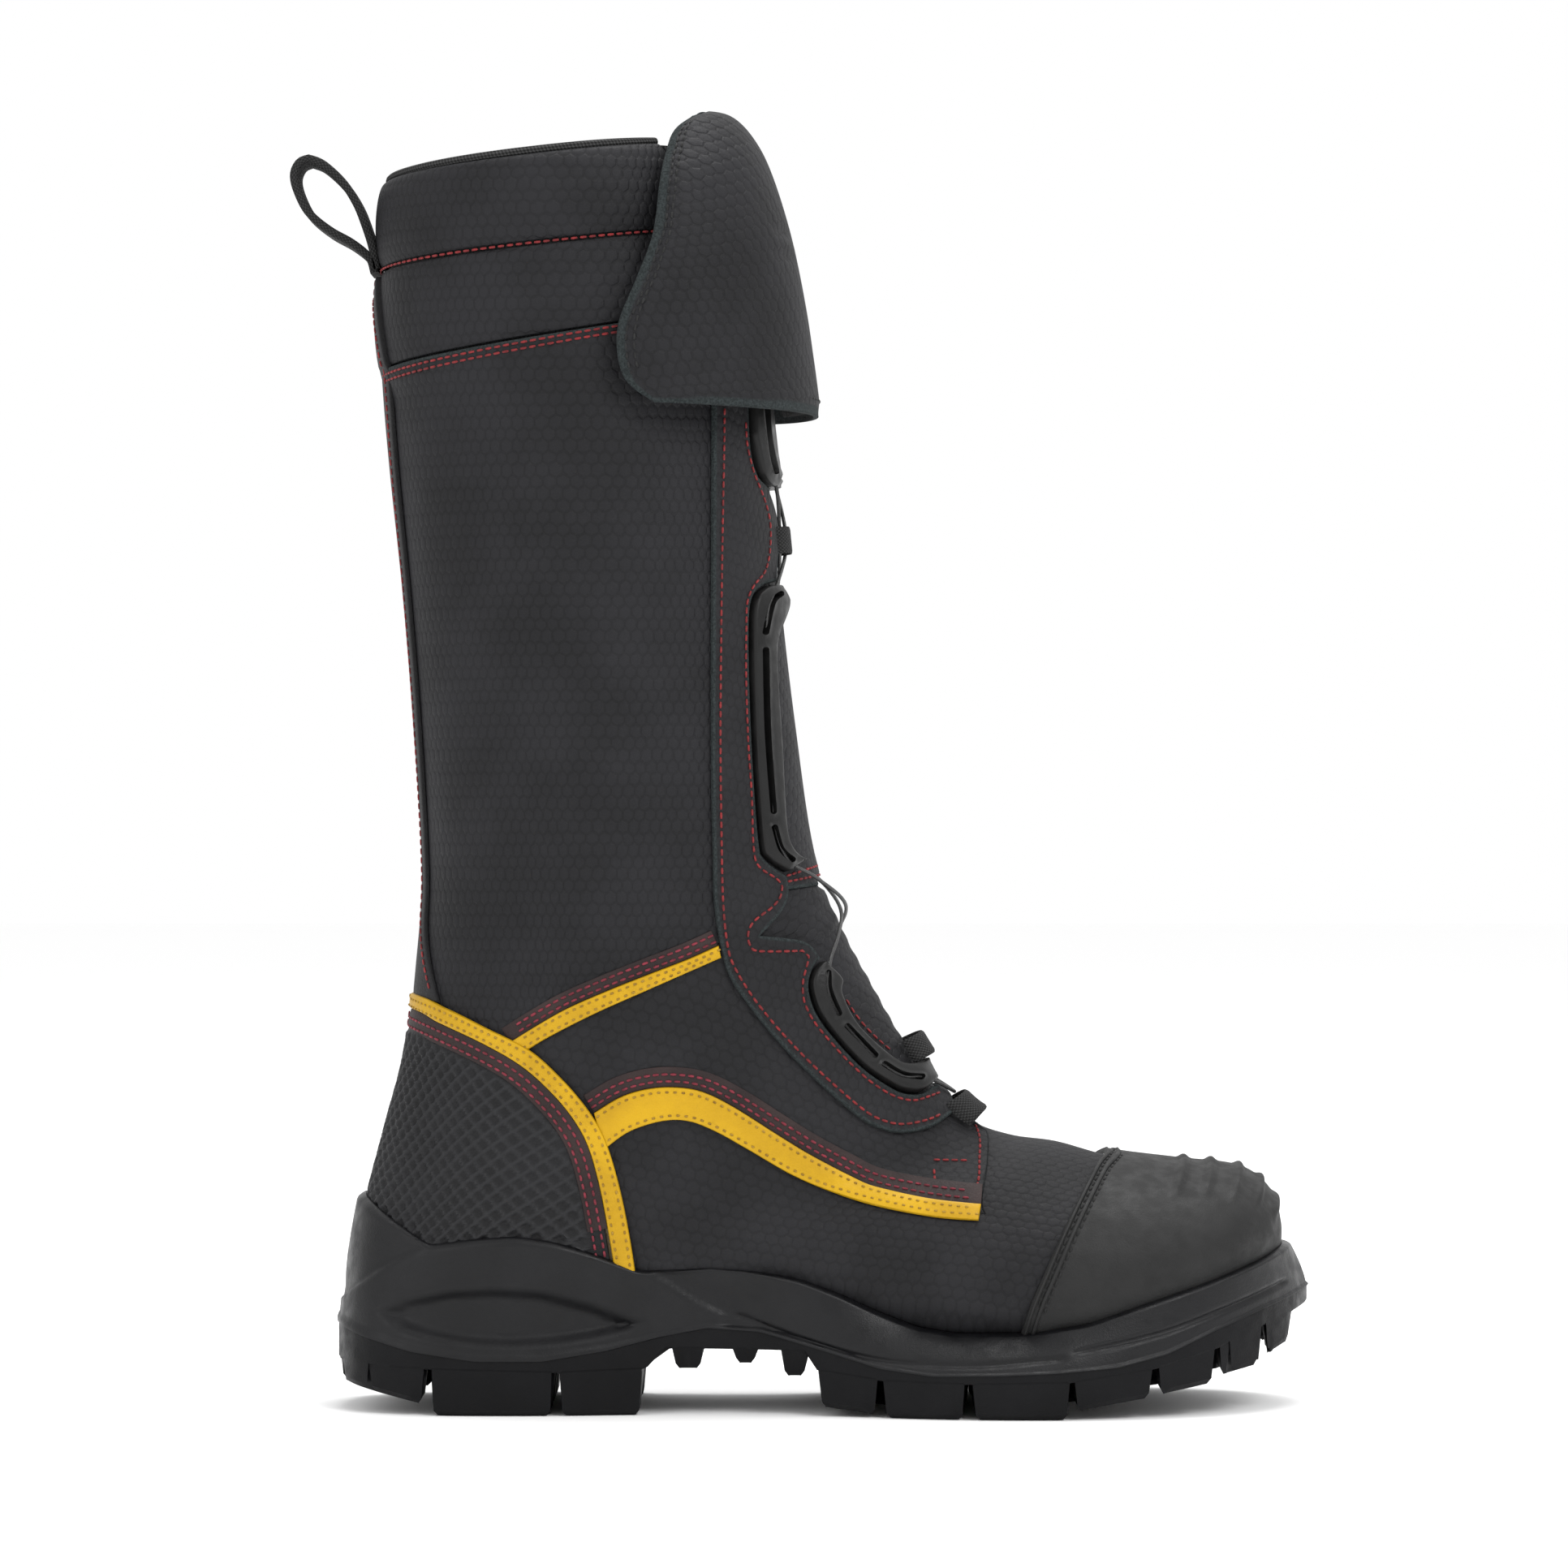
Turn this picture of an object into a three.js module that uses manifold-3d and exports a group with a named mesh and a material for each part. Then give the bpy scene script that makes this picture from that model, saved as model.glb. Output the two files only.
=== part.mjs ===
// Fire boot: one right boot with a padded collar, a fold-over tongue flap and a wire-and-dial closure.
// Millimetres. +X runs to the toe, +Z up, the outer (lateral) side of the boot faces -Y.
import * as THREE from 'three';
import { mergeVertices } from 'three/addons/utils/BufferGeometryUtils.js';
import Module from 'manifold-3d';

const wasm = await Module();
wasm.setup();

// ---------------------------------------------------------------- Driving dimensions
const FAR = 90; // half width of a cutter that reaches past both sides of the boot
const SEAM = 0.4; // width of the gap left along each seam line
const MIDDLE_GAP = 0.2; // half of the gap between a left and a right panel
const FIT = 0.35; // gap between pieces that rest on each other

// Layers of the upper, as heights above the nominal skin of the boot.
const LINING = [-4.2, -1.9];
const LEATHER = [-1.6, 0];
const OVERLAY = [0.3, 1.6];
const GUARD = [0.3, 2.3];
const GUIDE = [0.3, 4.3];
const FOOTBED = [-8.6, -4.5];
const PLATE = [0.8, 1.9];
const SHANK = [2.3, 3.7];
const SOLE_POCKET = 0.5;
const PLATE_POCKET = 2.1;
const SHANK_POCKET = 4.0;
const PLATE_HALF_WIDTH = 27;
const SHANK_HALF_WIDTH = 8;
const SHANK_ENDS = [62, 150];
const PLATE_ENDS = [20, 290];

// Collar pads stand out from the skin by a crown that is highest halfway up each band.
const PAD_INSIDE = -0.9;
const PAD_EDGE = 0.5;
const UPPER_PAD_CROWN = 2.9;
const LOWER_PAD_CROWN = 1.3;
const PAD_FRONT_ANGLE = 0.66;

const MIDSOLE_INSET = 2.2;
const WIRE_RADIUS = 0.6;
const WIRE_CLEARANCE = 0.95;

const DIAL_LEVEL = 2.05;
const DIAL_RADIUS = 16;
const FLAP_THICKNESS = 2.4;
const FLAP_HINGE = [117.5, 411.4];
const FOLD_HALF_WIDTH = 30;

// Profiles of the dial's pieces, as radius and height above the tongue.
const DIAL_PROFILES = {
  base: [[0, 0.4], [20, 0.4], [20, 1.8], [15.6, 2.4], [15.6, 5], [12.6, 5], [12.6, 2.4], [3.4, 2.4],
    [3.4, 2], [0, 2]],
  spool: [[3, 2.8], [12, 2.8], [12, 3.5], [9, 3.9], [9, 5], [12, 5.2], [12, 5.8], [3, 5.8], [3, 2.8]],
  knob: [[3, 8], [12.7, 8], [12.7, 6.4], [DIAL_RADIUS, 6.4], [DIAL_RADIUS, 8.6], [14.6, 9.6], [3, 9.6],
    [3, 8]],
  spring: [[5, 6.2], [9, 6.2], [9, 7.2], [5, 7.2], [5, 6.2]],
  screw: [[0, 2.5], [2.4, 2.5], [2.4, 8.6], [2.7, 8.6], [2.7, 9.5], [0, 9.5]],
};

// Webbing keepers: section at the middle, half length in sections, half width as an angle, height of the
// bridge over the wire, thickness.
const KEEPERS = {
  keeper_shin: [3.7, 0.09, 0.17, 4.6, 1],
  keeper_throat_rear: [9.4, 0.18, 0.17, 4, 1.2],
  keeper_throat_front: [10.9, 0.25, 0.2, 4, 1.2],
};

// Sections of the upper from the top of the collar (0) to the toe tip (19). Each is cut along a line
// from the front (or top) of the boot to its back (or bottom), seen from the side:
// front x, front z, back x, back z, half width, fullness, how low the widest point is, sideways shift.
const SECTIONS = [
  [114, 402.6, 16, 391.2, 51, 2.3, 1, 0],
  [126, 375, 15, 363, 52, 2.3, 1, 0],
  [132, 349.5, 16, 331, 53, 2.3, 1, 0],
  [137, 311, 18.5, 300, 53, 2.3, 1, 0],
  [142, 262, 22.5, 262, 52, 2.3, 1, 0],
  [147, 219, 26, 219, 50, 2.3, 1, 0],
  [153.5, 176, 28.8, 172, 47.5, 2.25, 1, 0],
  [163, 152, 26.8, 140, 45.5, 2.2, 1, 0],
  [172, 135, 23.4, 112, 43.5, 2.2, 1.05, 0],
  [181, 119, 17.2, 88, 42, 2.35, 1.1, 0],
  [190.5, 104.5, 10.4, 60, 40.5, 2.5, 1.15, 0],
  [203, 91.5, 9.8, 36, 39, 2.6, 1.2, 0],
  [216, 86.4, 50, 31, 38.5, 2.5, 1.3, 0],
  [231, 84.2, 125, 34.5, 42.5, 2.5, 1.4, 0.5],
  [248, 79.6, 190, 19.5, 49.5, 2.6, 1.5, 1.5],
  [270, 76.6, 238, 18.5, 50, 2.7, 1.5, 4],
  [287, 72.5, 268, 26, 43, 2.6, 1.4, 6.5],
  [296, 65, 286, 34, 32, 2.4, 1.2, 8.5],
  [299.5, 57, 297, 43, 18, 2.2, 1, 9.5],
  [300.4, 52, 300, 48, 6, 2, 1, 10],
];
const LAST_SECTION = SECTIONS.length - 1;
const SECTION_ROWS = [0, 1, 2, 3.5, 5, 6, 7, 8, 9, 10, 11, 12, 13, 14, 15, 16, 17, 18, 19];
const SECTION_COLUMNS = 18;

// Seam lines, seen from the side, as [x, z] points.
const FACING_CENTRE = [[99, 425], [104.5, 403], [114.5, 375], [119, 349.5], [124.5, 320], [127, 295],
  [127.5, 215], [127.5, 165], [129, 152], [133, 140], [141, 129], [152, 116], [162, 106], [170, 100],
  [180, 95.5], [190, 94.5], [197, 95.5]];
const COLLAR_FOOT = [[-20, 325.4], [15.8, 331], [132, 349.5], [160, 354]];
const ANKLE_SEAM = [[58, 114.5], [76, 124.7], [100.7, 136.5], [129, 152]];
const HEEL_SEAM = [[-20, 136], [23, 130], [36.4, 125.4], [50, 119], [62.6, 112.5], [72, 104.5],
  [79, 95.7], [83.7, 87.7], [87.1, 77.5], [90, 64.5], [92.4, 53], [95, 38], [97, -5]];
const SIDE_SEAM = [[83, 89], [93.5, 95], [102.8, 98], [113, 98], [124, 94], [136, 86.5], [149, 79],
  [161.6, 72.5], [172.6, 68.3], [189, 65], [207, 63.5]];
const QUARTER_FRONT = [[207, 63.5], [205.9, 67.3], [208.5, 81.4], [208.4, 88], [204, 92.5], [197, 95.5]];
const THROAT = [[197, 95.5], [207, 106]];
const SHIN_FOOT = [[127.5, 163], [141, 165], [157, 167], [180, 170]];
const TOE_CAP_REAR = [[252, 92], [246, 80], [236, 60], [228, 45], [221, 31], [215, -5]];
const LASTING_LINE = [[-20, 44], [10, 43], [50, 38], [125, 41], [190, 26], [238, 25.5], [268, 33],
  [284, 39], [293, 44], [320, 54]];

// Outlines of the pieces sewn or moulded on the outside.
const HEEL_TRIM_OUTER = [[-20, 137], [23.7, 132.3], [37.2, 127.9], [50, 122], [63.5, 115.3], [72.8, 107.2],
  [80.3, 98.7], [85.4, 91], [88.9, 82.6], [92.3, 70], [94.8, 57.4], [97.5, 44]];
const HEEL_TRIM_INNER = [[-20, 132], [23, 127.5], [35.6, 122.9], [50, 116.5], [61.7, 109.7], [71.1, 101.2],
  [77.8, 92.8], [82.1, 84.4], [85.4, 72.5], [88, 59], [91, 44]];
const ANKLE_TRIM = [[63.5, 115.3], [69.4, 119.1], [83.8, 126.6], [100.7, 134.2], [122.4, 143.8],
  [121.6, 147.6], [113.4, 143.9], [100.7, 139], [88, 133.9], [75.4, 128.3], [64, 122], [56, 118]];
const SIDE_TRIM = [[83.8, 95.4], [92.3, 100.5], [100.7, 103], [109.1, 103.5], [117.6, 102.1],
  [127.2, 97.4], [140.7, 88.7], [163.3, 75.5], [172.6, 71.1], [187.9, 67.8], [205.7, 65.9],
  [204.8, 61.2], [191.5, 62.2], [172.6, 65.5], [159.9, 69.4], [146, 75.5], [131.8, 83.9],
  [121.9, 89.5], [113.4, 92.8], [104.9, 92.8], [94.8, 89.5], [86, 83]];
const BACK_STRIP = [[-20, 329], [19.4, 329], [21.4, 300], [25, 262], [28.4, 219], [31.2, 172],
  [30.2, 150], [33.5, 130], [-20, 137.4]];
const BACK_STRIP_ANGLE = 0.24;
const STRIP_SHARES = [0.08, 0.2, 0.4, 0.6, 0.8, 0.92];
const STRIP_THICKNESS = 1.6;
const FACING = [[121, 345], [120.5, 313], [120.4, 215], [121, 177], [121.6, 160], [125.2, 141],
  [131.5, 130.2], [140.7, 118.5], [152.4, 106.2], [166, 94], [173, 89.8], [180.5, 88], [189.5, 89.2],
  [197, 93.4], [196, 101.5], [190.4, 101.6], [186.7, 99.6], [181.8, 99.8], [176.6, 102.1],
  [166.4, 109.8], [154.6, 123.5], [150.6, 133.6], [151.8, 140.5], [154, 143.5], [149, 148.9],
  [135.4, 151], [142, 158.4], [144, 164], [143.3, 169.5], [136.6, 174.8], [134.6, 181], [132.4, 211],
  [131.3, 242], [131.9, 256.6], [135.6, 261.8], [139.4, 263], [140.2, 280], [137, 292.5],
  [133.5, 297], [131.2, 309], [130.4, 345]];
const UPPER_GUIDE = [[131.8, 309.3], [134.4, 297.6], [137.5, 293.6], [142.5, 294], [142, 301.2],
  [139.6, 304.5], [138.6, 312.5], [137.5, 326], [131, 326]];
const SHIN_GUIDE = [[139.8, 262], [136.2, 261.1], [132.6, 256.3], [132, 242.3], [133.1, 210.9],
  [135.3, 181.2], [137.3, 175.4], [143, 171], [148, 174.4], [142.6, 182], [140.4, 211], [138.6, 242],
  [142, 256]];
const INSTEP_GUIDE = [[154.6, 142.4], [151.9, 139], [151.4, 133.6], [155.4, 123.9], [166.8, 110.5],
  [176.9, 102.9], [182, 100.6], [186.5, 100.5], [190.5, 103], [187, 109], [178.6, 109.6], [166, 121],
  [160.2, 131.6], [160, 136.5]];
const TOE_GUARD_REAR = [[254, 94], [248.6, 81.4], [242.4, 75.8], [233, 60.7], [225.4, 45.6],
  [219.8, 32.4], [215, 12]];

// Sole: outline from below as [x, y], then edges seen from the side as [x, z].
const SOLE_OUTLINE = [[0, 0], [1.5, -15], [6.5, -27.5], [16, -36], [31, -41.5], [52, -43.5], [76, -42.6],
  [102, -39.6], [131, -40], [160, -45.5], [188, -53.5], [214, -57.5], [240, -56.4], [262, -50.5],
  [280, -41], [295, -28], [306, -12], [312, 4], [313, 12], [311, 24], [304, 37], [292, 47.5],
  [276, 54.6], [256, 58], [232, 57.5], [208, 53], [184, 46], [160, 40.5], [131, 38.2], [102, 39],
  [76, 42.2], [52, 43.5], [31, 41.5], [16, 36], [6.5, 27.5], [1.5, 15]];
const PARTING_LINE = [[-5, 29.2], [9.1, 24.5], [25.7, 20], [46.4, 17.1], [67.2, 17.1], [87.9, 20.4],
  [104.5, 24.6], [119.3, 27.4], [135.9, 26.3], [156.7, 20.4], [173.3, 15.5], [189.9, 13.4],
  [210, 13.8], [228.7, 14.6], [248.1, 16.2], [264, 20], [280, 26.8], [295.3, 32.4], [318, 39]];
const SOLE_TOP_LINE = [[-5, 70], [7.7, 67.8], [21.6, 58.9], [31.5, 52.3], [46.4, 55.2], [58.9, 56.1],
  [71.3, 54.4], [98.7, 44.9], [119.3, 46.4], [131.8, 45.4], [148.4, 42.4], [160.9, 37.8],
  [173.3, 32.1], [185.8, 27.4], [198.1, 25.6], [218.9, 26], [238.7, 28.9], [257.6, 35.2],
  [276.4, 40.9], [295.3, 47.4], [305.2, 51.3], [318, 53]];
// Lugs and arch bars: first x, last x, bottom z at each, and height of the groove behind the lug.
const LUGS = [
  [0, 29.3, 11, 3.5, 13],
  [33.2, 70, 0, 0, 12],
  [73.8, 98, 0, 0, 13],
  [109.4, 117.3, 14.6, 14.6, 21],
  [128.5, 134.4, 16.3, 16.3, 21.5],
  [143.8, 150.1, 12.5, 12.5, 20],
  [155.5, 172.1, 3, 1, 15],
  [175.8, 199.4, 0, 0, 9],
  [203.6, 232, 0, 0, 9],
  [235.4, 258, 2.7, 6.5, 10],
  [261.8, 278.2, 7.4, 10.2, 14],
  [281.5, 296, 12.6, 15.4, 19],
  [299.4, 306, 18, 20, 24],
];
const SOLE_TIP = [[312, 25], [318, 31]];

// Flap rows from the fold to the hem: front x, front z, side edge x, side edge z, half width.
const FLAP_ROWS = [
  [119.4, 412.4, 116.5, 410.6, 30],
  [127.5, 410, 109, 404.5, 39],
  [134, 402.5, 106.2, 396, 47],
  [139, 391.5, 104.6, 387, 53],
  [144.6, 373, 102.6, 371, 57],
  [149, 352, 97.6, 357, 59],
  [151.6, 335, 91.6, 341, 60],
  [153.2, 323, 93.5, 326, 59.5],
  [154, 316.5, 103, 318, 58.5],
];
const FLAP_FULLNESS = 2.2;
const FLAP_COLUMNS = 14;
const HOOK_PAD_ROWS = [6.9, 7.6];
const HOOK_PAD_TURN = 0.55;
const HOOK_PAD_THICKNESS = 1.2;
const HOOK_PAD_SETBACK = -2.8;

// Pull loop, seen from the side: outer edge, then the finger hole.
const LOOP_OUTER = [[12.9, 361.7], [12, 366], [10.9, 372], [8.8, 380.5], [3.1, 392.7], [-3, 398.2],
  [-8.7, 400.4], [-12.5, 398.6], [-14.5, 393.7], [-12.8, 387.1], [-7.9, 378.4], [0.3, 373], [8.6, 366.5],
  [10.6, 361.7]];
const LOOP_HOLE = [[8.6, 371], [2.4, 374.9], [-5.6, 380], [-10.2, 388], [-11.7, 393], [-10.6, 396.6],
  [-8.2, 397.4], [-4.4, 395.8], [0.8, 390.9], [6.4, 379.4]];
const LOOP_HALF_WIDTH = 11;

// The wire lace, from the dial's outer-side exit down one way and back up the other:
// x and z seen from the side, side of the boot (1 lateral, -1 medial, 0 on the middle), lift above the skin.
const WIRE_DOWN = [
  [133.5, 322, 1, 3], [134.6, 312, 1, 3], [135.9, 302, 1, 3], [138.3, 293, 1, 3],
  [140.3, 277, 0, 1.7],
  [138.6, 262, -1, 3], [136, 254, -1, 3], [135.6, 242, -1, 3], [136.2, 226, -1, 3],
  [137, 210, -1, 3], [138, 195, -1, 3], [139, 184, -1, 3], [142.4, 175, -1, 3],
  [151.5, 168.5, -1, 2.6], [159.5, 158.6, 0, 1.9],
  [158.6, 150, 1, 2.8], [156.2, 142, 1, 3], [155.6, 134, 1, 3], [159, 125.5, 1, 3], [165.2, 117.5, 1, 3],
  [172.4, 110, 1, 3], [179.6, 105, 1, 3], [186.5, 104, 1, 3],
];
const WIRE_CROSSOVER_LIFT = 3.9;
const WIRE_TOE = [196, 98, 0, 3.2];

// ---------------------------------------------------------------- Curves and surfaces
function catmullRom(before, from, to, after, part) {
  const slopeFrom = (to - before) / 2;
  const slopeTo = (after - from) / 2;
  const rise = to - from;
  const cubic = slopeFrom + slopeTo - 2 * rise;
  const square = 3 * rise - 2 * slopeFrom - slopeTo;
  return ((cubic * part + square) * part + slopeFrom) * part + from;
}

// A row of numbers read off a table at a place between its rows.
function readTable(table, place) {
  const last = table.length - 1;
  const index = Math.min(Math.max(Math.floor(place), 0), last - 1);
  const part = Math.min(Math.max(place, 0), last) - index;
  const row = (k) => table[Math.min(Math.max(k, 0), last)];
  return row(index).map((value, column) => catmullRom(
    row(index - 1)[column], value, row(index + 1)[column], row(index + 2)[column], part));
}

// Share of the half width at a share of the way from front to back.
function spread(share, fullness, lowness) {
  const reach = Math.abs(2 * share ** lowness - 1) ** fullness;
  return Math.max(1 - reach, 0) ** (1 / fullness);
}

// A point on the nominal skin: angle 0 is the front, pi the back, and the lateral side comes between.
function skinPoint(section, angle) {
  const [frontX, frontZ, backX, backZ, halfWidth, fullness, lowness, shift] = readTable(SECTIONS, section);
  const share = (1 - Math.cos(angle)) / 2;
  const side = Math.sin(angle) >= 0 ? -1 : 1;
  const y = shift + side * halfWidth * spread(share, fullness, lowness);
  return new THREE.Vector3(frontX + (backX - frontX) * share, y, frontZ + (backZ - frontZ) * share);
}

function skinNormal(section, angle) {
  const step = 0.02;
  const down = skinPoint(Math.min(section + step, LAST_SECTION), angle)
    .sub(skinPoint(Math.max(section - step, 0), angle));
  const round = skinPoint(section, angle + step).sub(skinPoint(section, angle - step));
  return round.cross(down).normalize();
}

function lifted(section, angle, lift) {
  return skinPoint(section, angle).addScaledVector(skinNormal(section, angle), lift);
}

// The section and angle of a place seen from the side.
function placeOnSkin(x, z) {
  const sideOf = (section) => {
    const [frontX, frontZ, backX, backZ] = readTable(SECTIONS, section);
    return (backX - frontX) * (z - frontZ) - (backZ - frontZ) * (x - frontX);
  };
  let low = 0;
  let high = LAST_SECTION;
  for (let round = 0; round < 40; round += 1) {
    const middle = (low + high) / 2;
    if (sideOf(middle) < 0) {
      high = middle;
    } else {
      low = middle;
    }
  }
  const [frontX, frontZ, backX, backZ] = readTable(SECTIONS, low);
  const length = (backX - frontX) ** 2 + (backZ - frontZ) ** 2;
  const share = ((x - frontX) * (backX - frontX) + (z - frontZ) * (backZ - frontZ)) / length;
  return { section: low, angle: Math.acos(1 - 2 * Math.min(Math.max(share, 0), 1)) };
}

// ---------------------------------------------------------------- Solids
function geometryFrom(points, triangles) {
  const geometry = new THREE.BufferGeometry();
  geometry.setAttribute('position', new THREE.Float32BufferAttribute(points, 3));
  geometry.setIndex(triangles);
  return geometry;
}

function solidOf(geometry) {
  const bare = geometry.clone();
  bare.deleteAttribute('normal');
  bare.deleteAttribute('uv');
  const merged = mergeVertices(bare, 1e-4);
  return new wasm.Manifold(new wasm.Mesh({
    numProp: 3,
    vertProperties: Float32Array.from(merged.attributes.position.array),
    triVerts: Uint32Array.from(merged.index.array),
  }));
}

// The largest body of a cut solid, without the slivers that a slanting cut leaves at its corners.
function geometryOf(solid) {
  const bodies = solid.decompose().sort((one, other) => other.volume() - one.volume());
  const mesh = bodies[0].getMesh();
  return geometryFrom(Array.from(mesh.vertProperties), Array.from(mesh.triVerts));
}

// A closed body from rings of points that all have the same count; each end is closed by a fan.
// The first steps may be split along the other diagonal, so that an inside, whose rings run back up,
// is faceted exactly like the outside.
function ringBody(rings, mirroredSteps = 0) {
  const count = rings[0].length;
  const points = rings.flat().flatMap((point) => point.toArray());
  const triangles = [];
  for (let ring = 0; ring < rings.length - 1; ring += 1) {
    const here = ring * count;
    const next = here + count;
    for (let k = 0; k < count; k += 1) {
      const after = (k + 1) % count;
      if (ring < mirroredSteps) {
        triangles.push(here + k, here + after, next + after, here + k, next + after, next + k);
      } else {
        triangles.push(here + k, here + after, next + k, here + after, next + after, next + k);
      }
    }
  }
  closeRing(points, triangles, rings[0], 0, true);
  closeRing(points, triangles, rings[rings.length - 1], (rings.length - 1) * count, false);
  return geometryFrom(points, triangles);
}

function closeRing(points, triangles, ring, start, first) {
  const centre = ring.reduce((sum, point) => sum.add(point), new THREE.Vector3()).divideScalar(ring.length);
  const middle = points.length / 3;
  points.push(...centre.toArray());
  for (let k = 0; k < ring.length; k += 1) {
    const here = start + k;
    const after = start + ((k + 1) % ring.length);
    triangles.push(...(first ? [middle, after, here] : [middle, here, after]));
  }
}

function skinRing(section, lift) {
  return Array.from({ length: SECTION_COLUMNS }, (_, k) => (
    lifted(section, (2 * Math.PI * k) / SECTION_COLUMNS, lift)));
}

// The whole foot-and-shaft form, swollen or shrunk by a lift, as one closed body.
function form(lift) {
  return solidOf(ringBody(SECTION_ROWS.map((section) => skinRing(section, lift))));
}

// A sock-like layer between two lifts, open at the top.
function layer([inner, outer]) {
  const outside = SECTION_ROWS.map((section) => skinRing(section, outer));
  const inside = SECTION_ROWS.map((section) => skinRing(section, inner)).reverse();
  return solidOf(ringBody([...inside, ...outside], inside.length - 1));
}

// A prism whose outline is seen from the side, between two values of y.
function sidePrism(outline, fromY = -FAR, toY = FAR) {
  const shape = new THREE.Shape(outline.map(([x, z]) => new THREE.Vector2(x, z)));
  const geometry = new THREE.ExtrudeGeometry(shape, { depth: toY - fromY, bevelEnabled: false });
  geometry.rotateX(Math.PI / 2);
  geometry.translate(0, toY, 0);
  return solidOf(geometry);
}

// A prism whose outline is seen from above, between two heights.
function plainPrism(outline, fromZ, toZ) {
  const shape = new THREE.Shape(outline.map(([x, y]) => new THREE.Vector2(x, y)));
  const geometry = new THREE.ExtrudeGeometry(shape, { depth: toZ - fromZ, bevelEnabled: false });
  geometry.translate(0, 0, fromZ);
  return solidOf(geometry);
}

// Points moved sideways from a line, to its left when the distance is positive.
function beside(line, distance, closed = false) {
  return line.map(([x, z], k) => {
    const wrap = (index) => (closed ? (index + line.length) % line.length
      : Math.min(Math.max(index, 0), line.length - 1));
    const [fromX, fromZ] = line[wrap(k - 1)];
    const [toX, toZ] = line[wrap(k + 1)];
    const length = Math.hypot(toX - fromX, toZ - fromZ);
    return [x - ((toZ - fromZ) / length) * distance, z + ((toX - fromX) / length) * distance];
  });
}

function seamCut(line) {
  return sidePrism([...beside(line, SEAM / 2), ...beside(line, -SEAM / 2).reverse()]);
}

function stretch(line, fromX, toX) {
  return line.filter(([x]) => x >= fromX && x <= toX);
}

// The side of the boot that a panel is on, as the y range of its cutter.
const SIDES = { lateral: [-FAR, -MIDDLE_GAP], medial: [MIDDLE_GAP, FAR], both: [-FAR, FAR] };

function panel(sheet, outline, side, ...cuts) {
  let solid = sheet.intersect(sidePrism(outline, ...SIDES[side]));
  cuts.forEach((cut) => {
    solid = solid.subtract(cut);
  });
  return solid;
}

// A sheet of even thickness through a grid of points.
function sheetBody(grid, thickness) {
  const rows = grid.length;
  const columns = grid[0].length;
  const clampRow = (r) => Math.min(Math.max(r, 0), rows - 1);
  const clampColumn = (c) => Math.min(Math.max(c, 0), columns - 1);
  const normalAt = (r, c) => {
    const down = grid[clampRow(r + 1)][c].clone().sub(grid[clampRow(r - 1)][c]);
    const across = grid[r][clampColumn(c + 1)].clone().sub(grid[r][clampColumn(c - 1)]);
    return across.cross(down).normalize();
  };
  const face = (offset) => grid.map((line, r) => line.map((point, c) => (
    point.clone().addScaledVector(normalAt(r, c), offset))));
  const near = face(-thickness / 2);
  const far = face(thickness / 2);
  const rings = near.map((line, r) => [...line, ...far[r].slice().reverse()]);
  return ringBodyFlat(rings, columns);
}

// Like ringBody, with flat strips closing the two ends of a folded ring.
function ringBodyFlat(rings, columns) {
  const count = rings[0].length;
  const points = rings.flat().flatMap((point) => point.toArray());
  const triangles = [];
  for (let ring = 0; ring < rings.length - 1; ring += 1) {
    for (let k = 0; k < count; k += 1) {
      const here = ring * count + k;
      const beyond = ring * count + ((k + 1) % count);
      triangles.push(here, here + count, beyond, beyond, here + count, beyond + count);
    }
  }
  const end = (rings.length - 1) * count;
  for (let k = 0; k < columns - 1; k += 1) {
    const mirror = count - 1 - k;
    triangles.push(k, k + 1, mirror, mirror, k + 1, mirror - 1);
    triangles.push(end + k, end + mirror, end + k + 1, end + k + 1, end + mirror, end + mirror - 1);
  }
  return geometryFrom(points, triangles);
}

// ---------------------------------------------------------------- Materials
function finish(color, roughness, metalness = 0) {
  return { color, roughness, metalness };
}
const BLACK_LEATHER = finish(0x303034, 0.62);
const COUNTER_LEATHER = finish(0x2b2b30, 0.6);
const YELLOW_LEATHER = finish(0xe2b414, 0.5);
const LINING_CLOTH = finish(0x1c1c1f, 0.95);
const WEBBING = finish(0x1b1b1e, 0.9);
const SOLE_RUBBER = finish(0x26262b, 0.55);
const GUARD_RUBBER = finish(0x2b2b2f, 0.6);
const BLACK_PLASTIC = finish(0x17171a, 0.4);
const FOAM = finish(0x3a3a3f, 0.9);
const BOARD = finish(0x8a7a60, 0.9);
const STEEL = finish(0x9a9a9e, 0.35, 1);

const boot = new THREE.Group();

function addPiece(name, geometry, look, parent = boot) {
  const mesh = new THREE.Mesh(geometry, new THREE.MeshStandardMaterial(look));
  mesh.name = name;
  parent.add(mesh);
  return mesh;
}

// ---------------------------------------------------------------- Wire lace
function skinOf([x, z, side, lift]) {
  const { section, angle } = placeOnSkin(x, z);
  if (side === 0) {
    return lifted(section, 0, lift);
  }
  return lifted(section, side > 0 ? angle : 2 * Math.PI - angle, lift);
}

function wireCurve() {
  const down = WIRE_DOWN.map(skinOf);
  const up = WIRE_DOWN.map(([x, z, side, lift]) => (
    skinOf([x, z, -side, side === 0 ? WIRE_CROSSOVER_LIFT : lift]))).reverse();
  return new THREE.CatmullRomCurve3([...down, skinOf(WIRE_TOE), ...up], false, 'centripetal');
}

function roundSection(radius, sides) {
  const points = Array.from({ length: sides }, (_, k) => {
    const turn = (2 * Math.PI * k) / sides;
    return new THREE.Vector2(radius * Math.cos(turn), radius * Math.sin(turn));
  });
  return new THREE.Shape(points);
}

function tube(curve, radius, steps) {
  return new THREE.ExtrudeGeometry(roundSection(radius, 8), { steps, extrudePath: curve });
}

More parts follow.
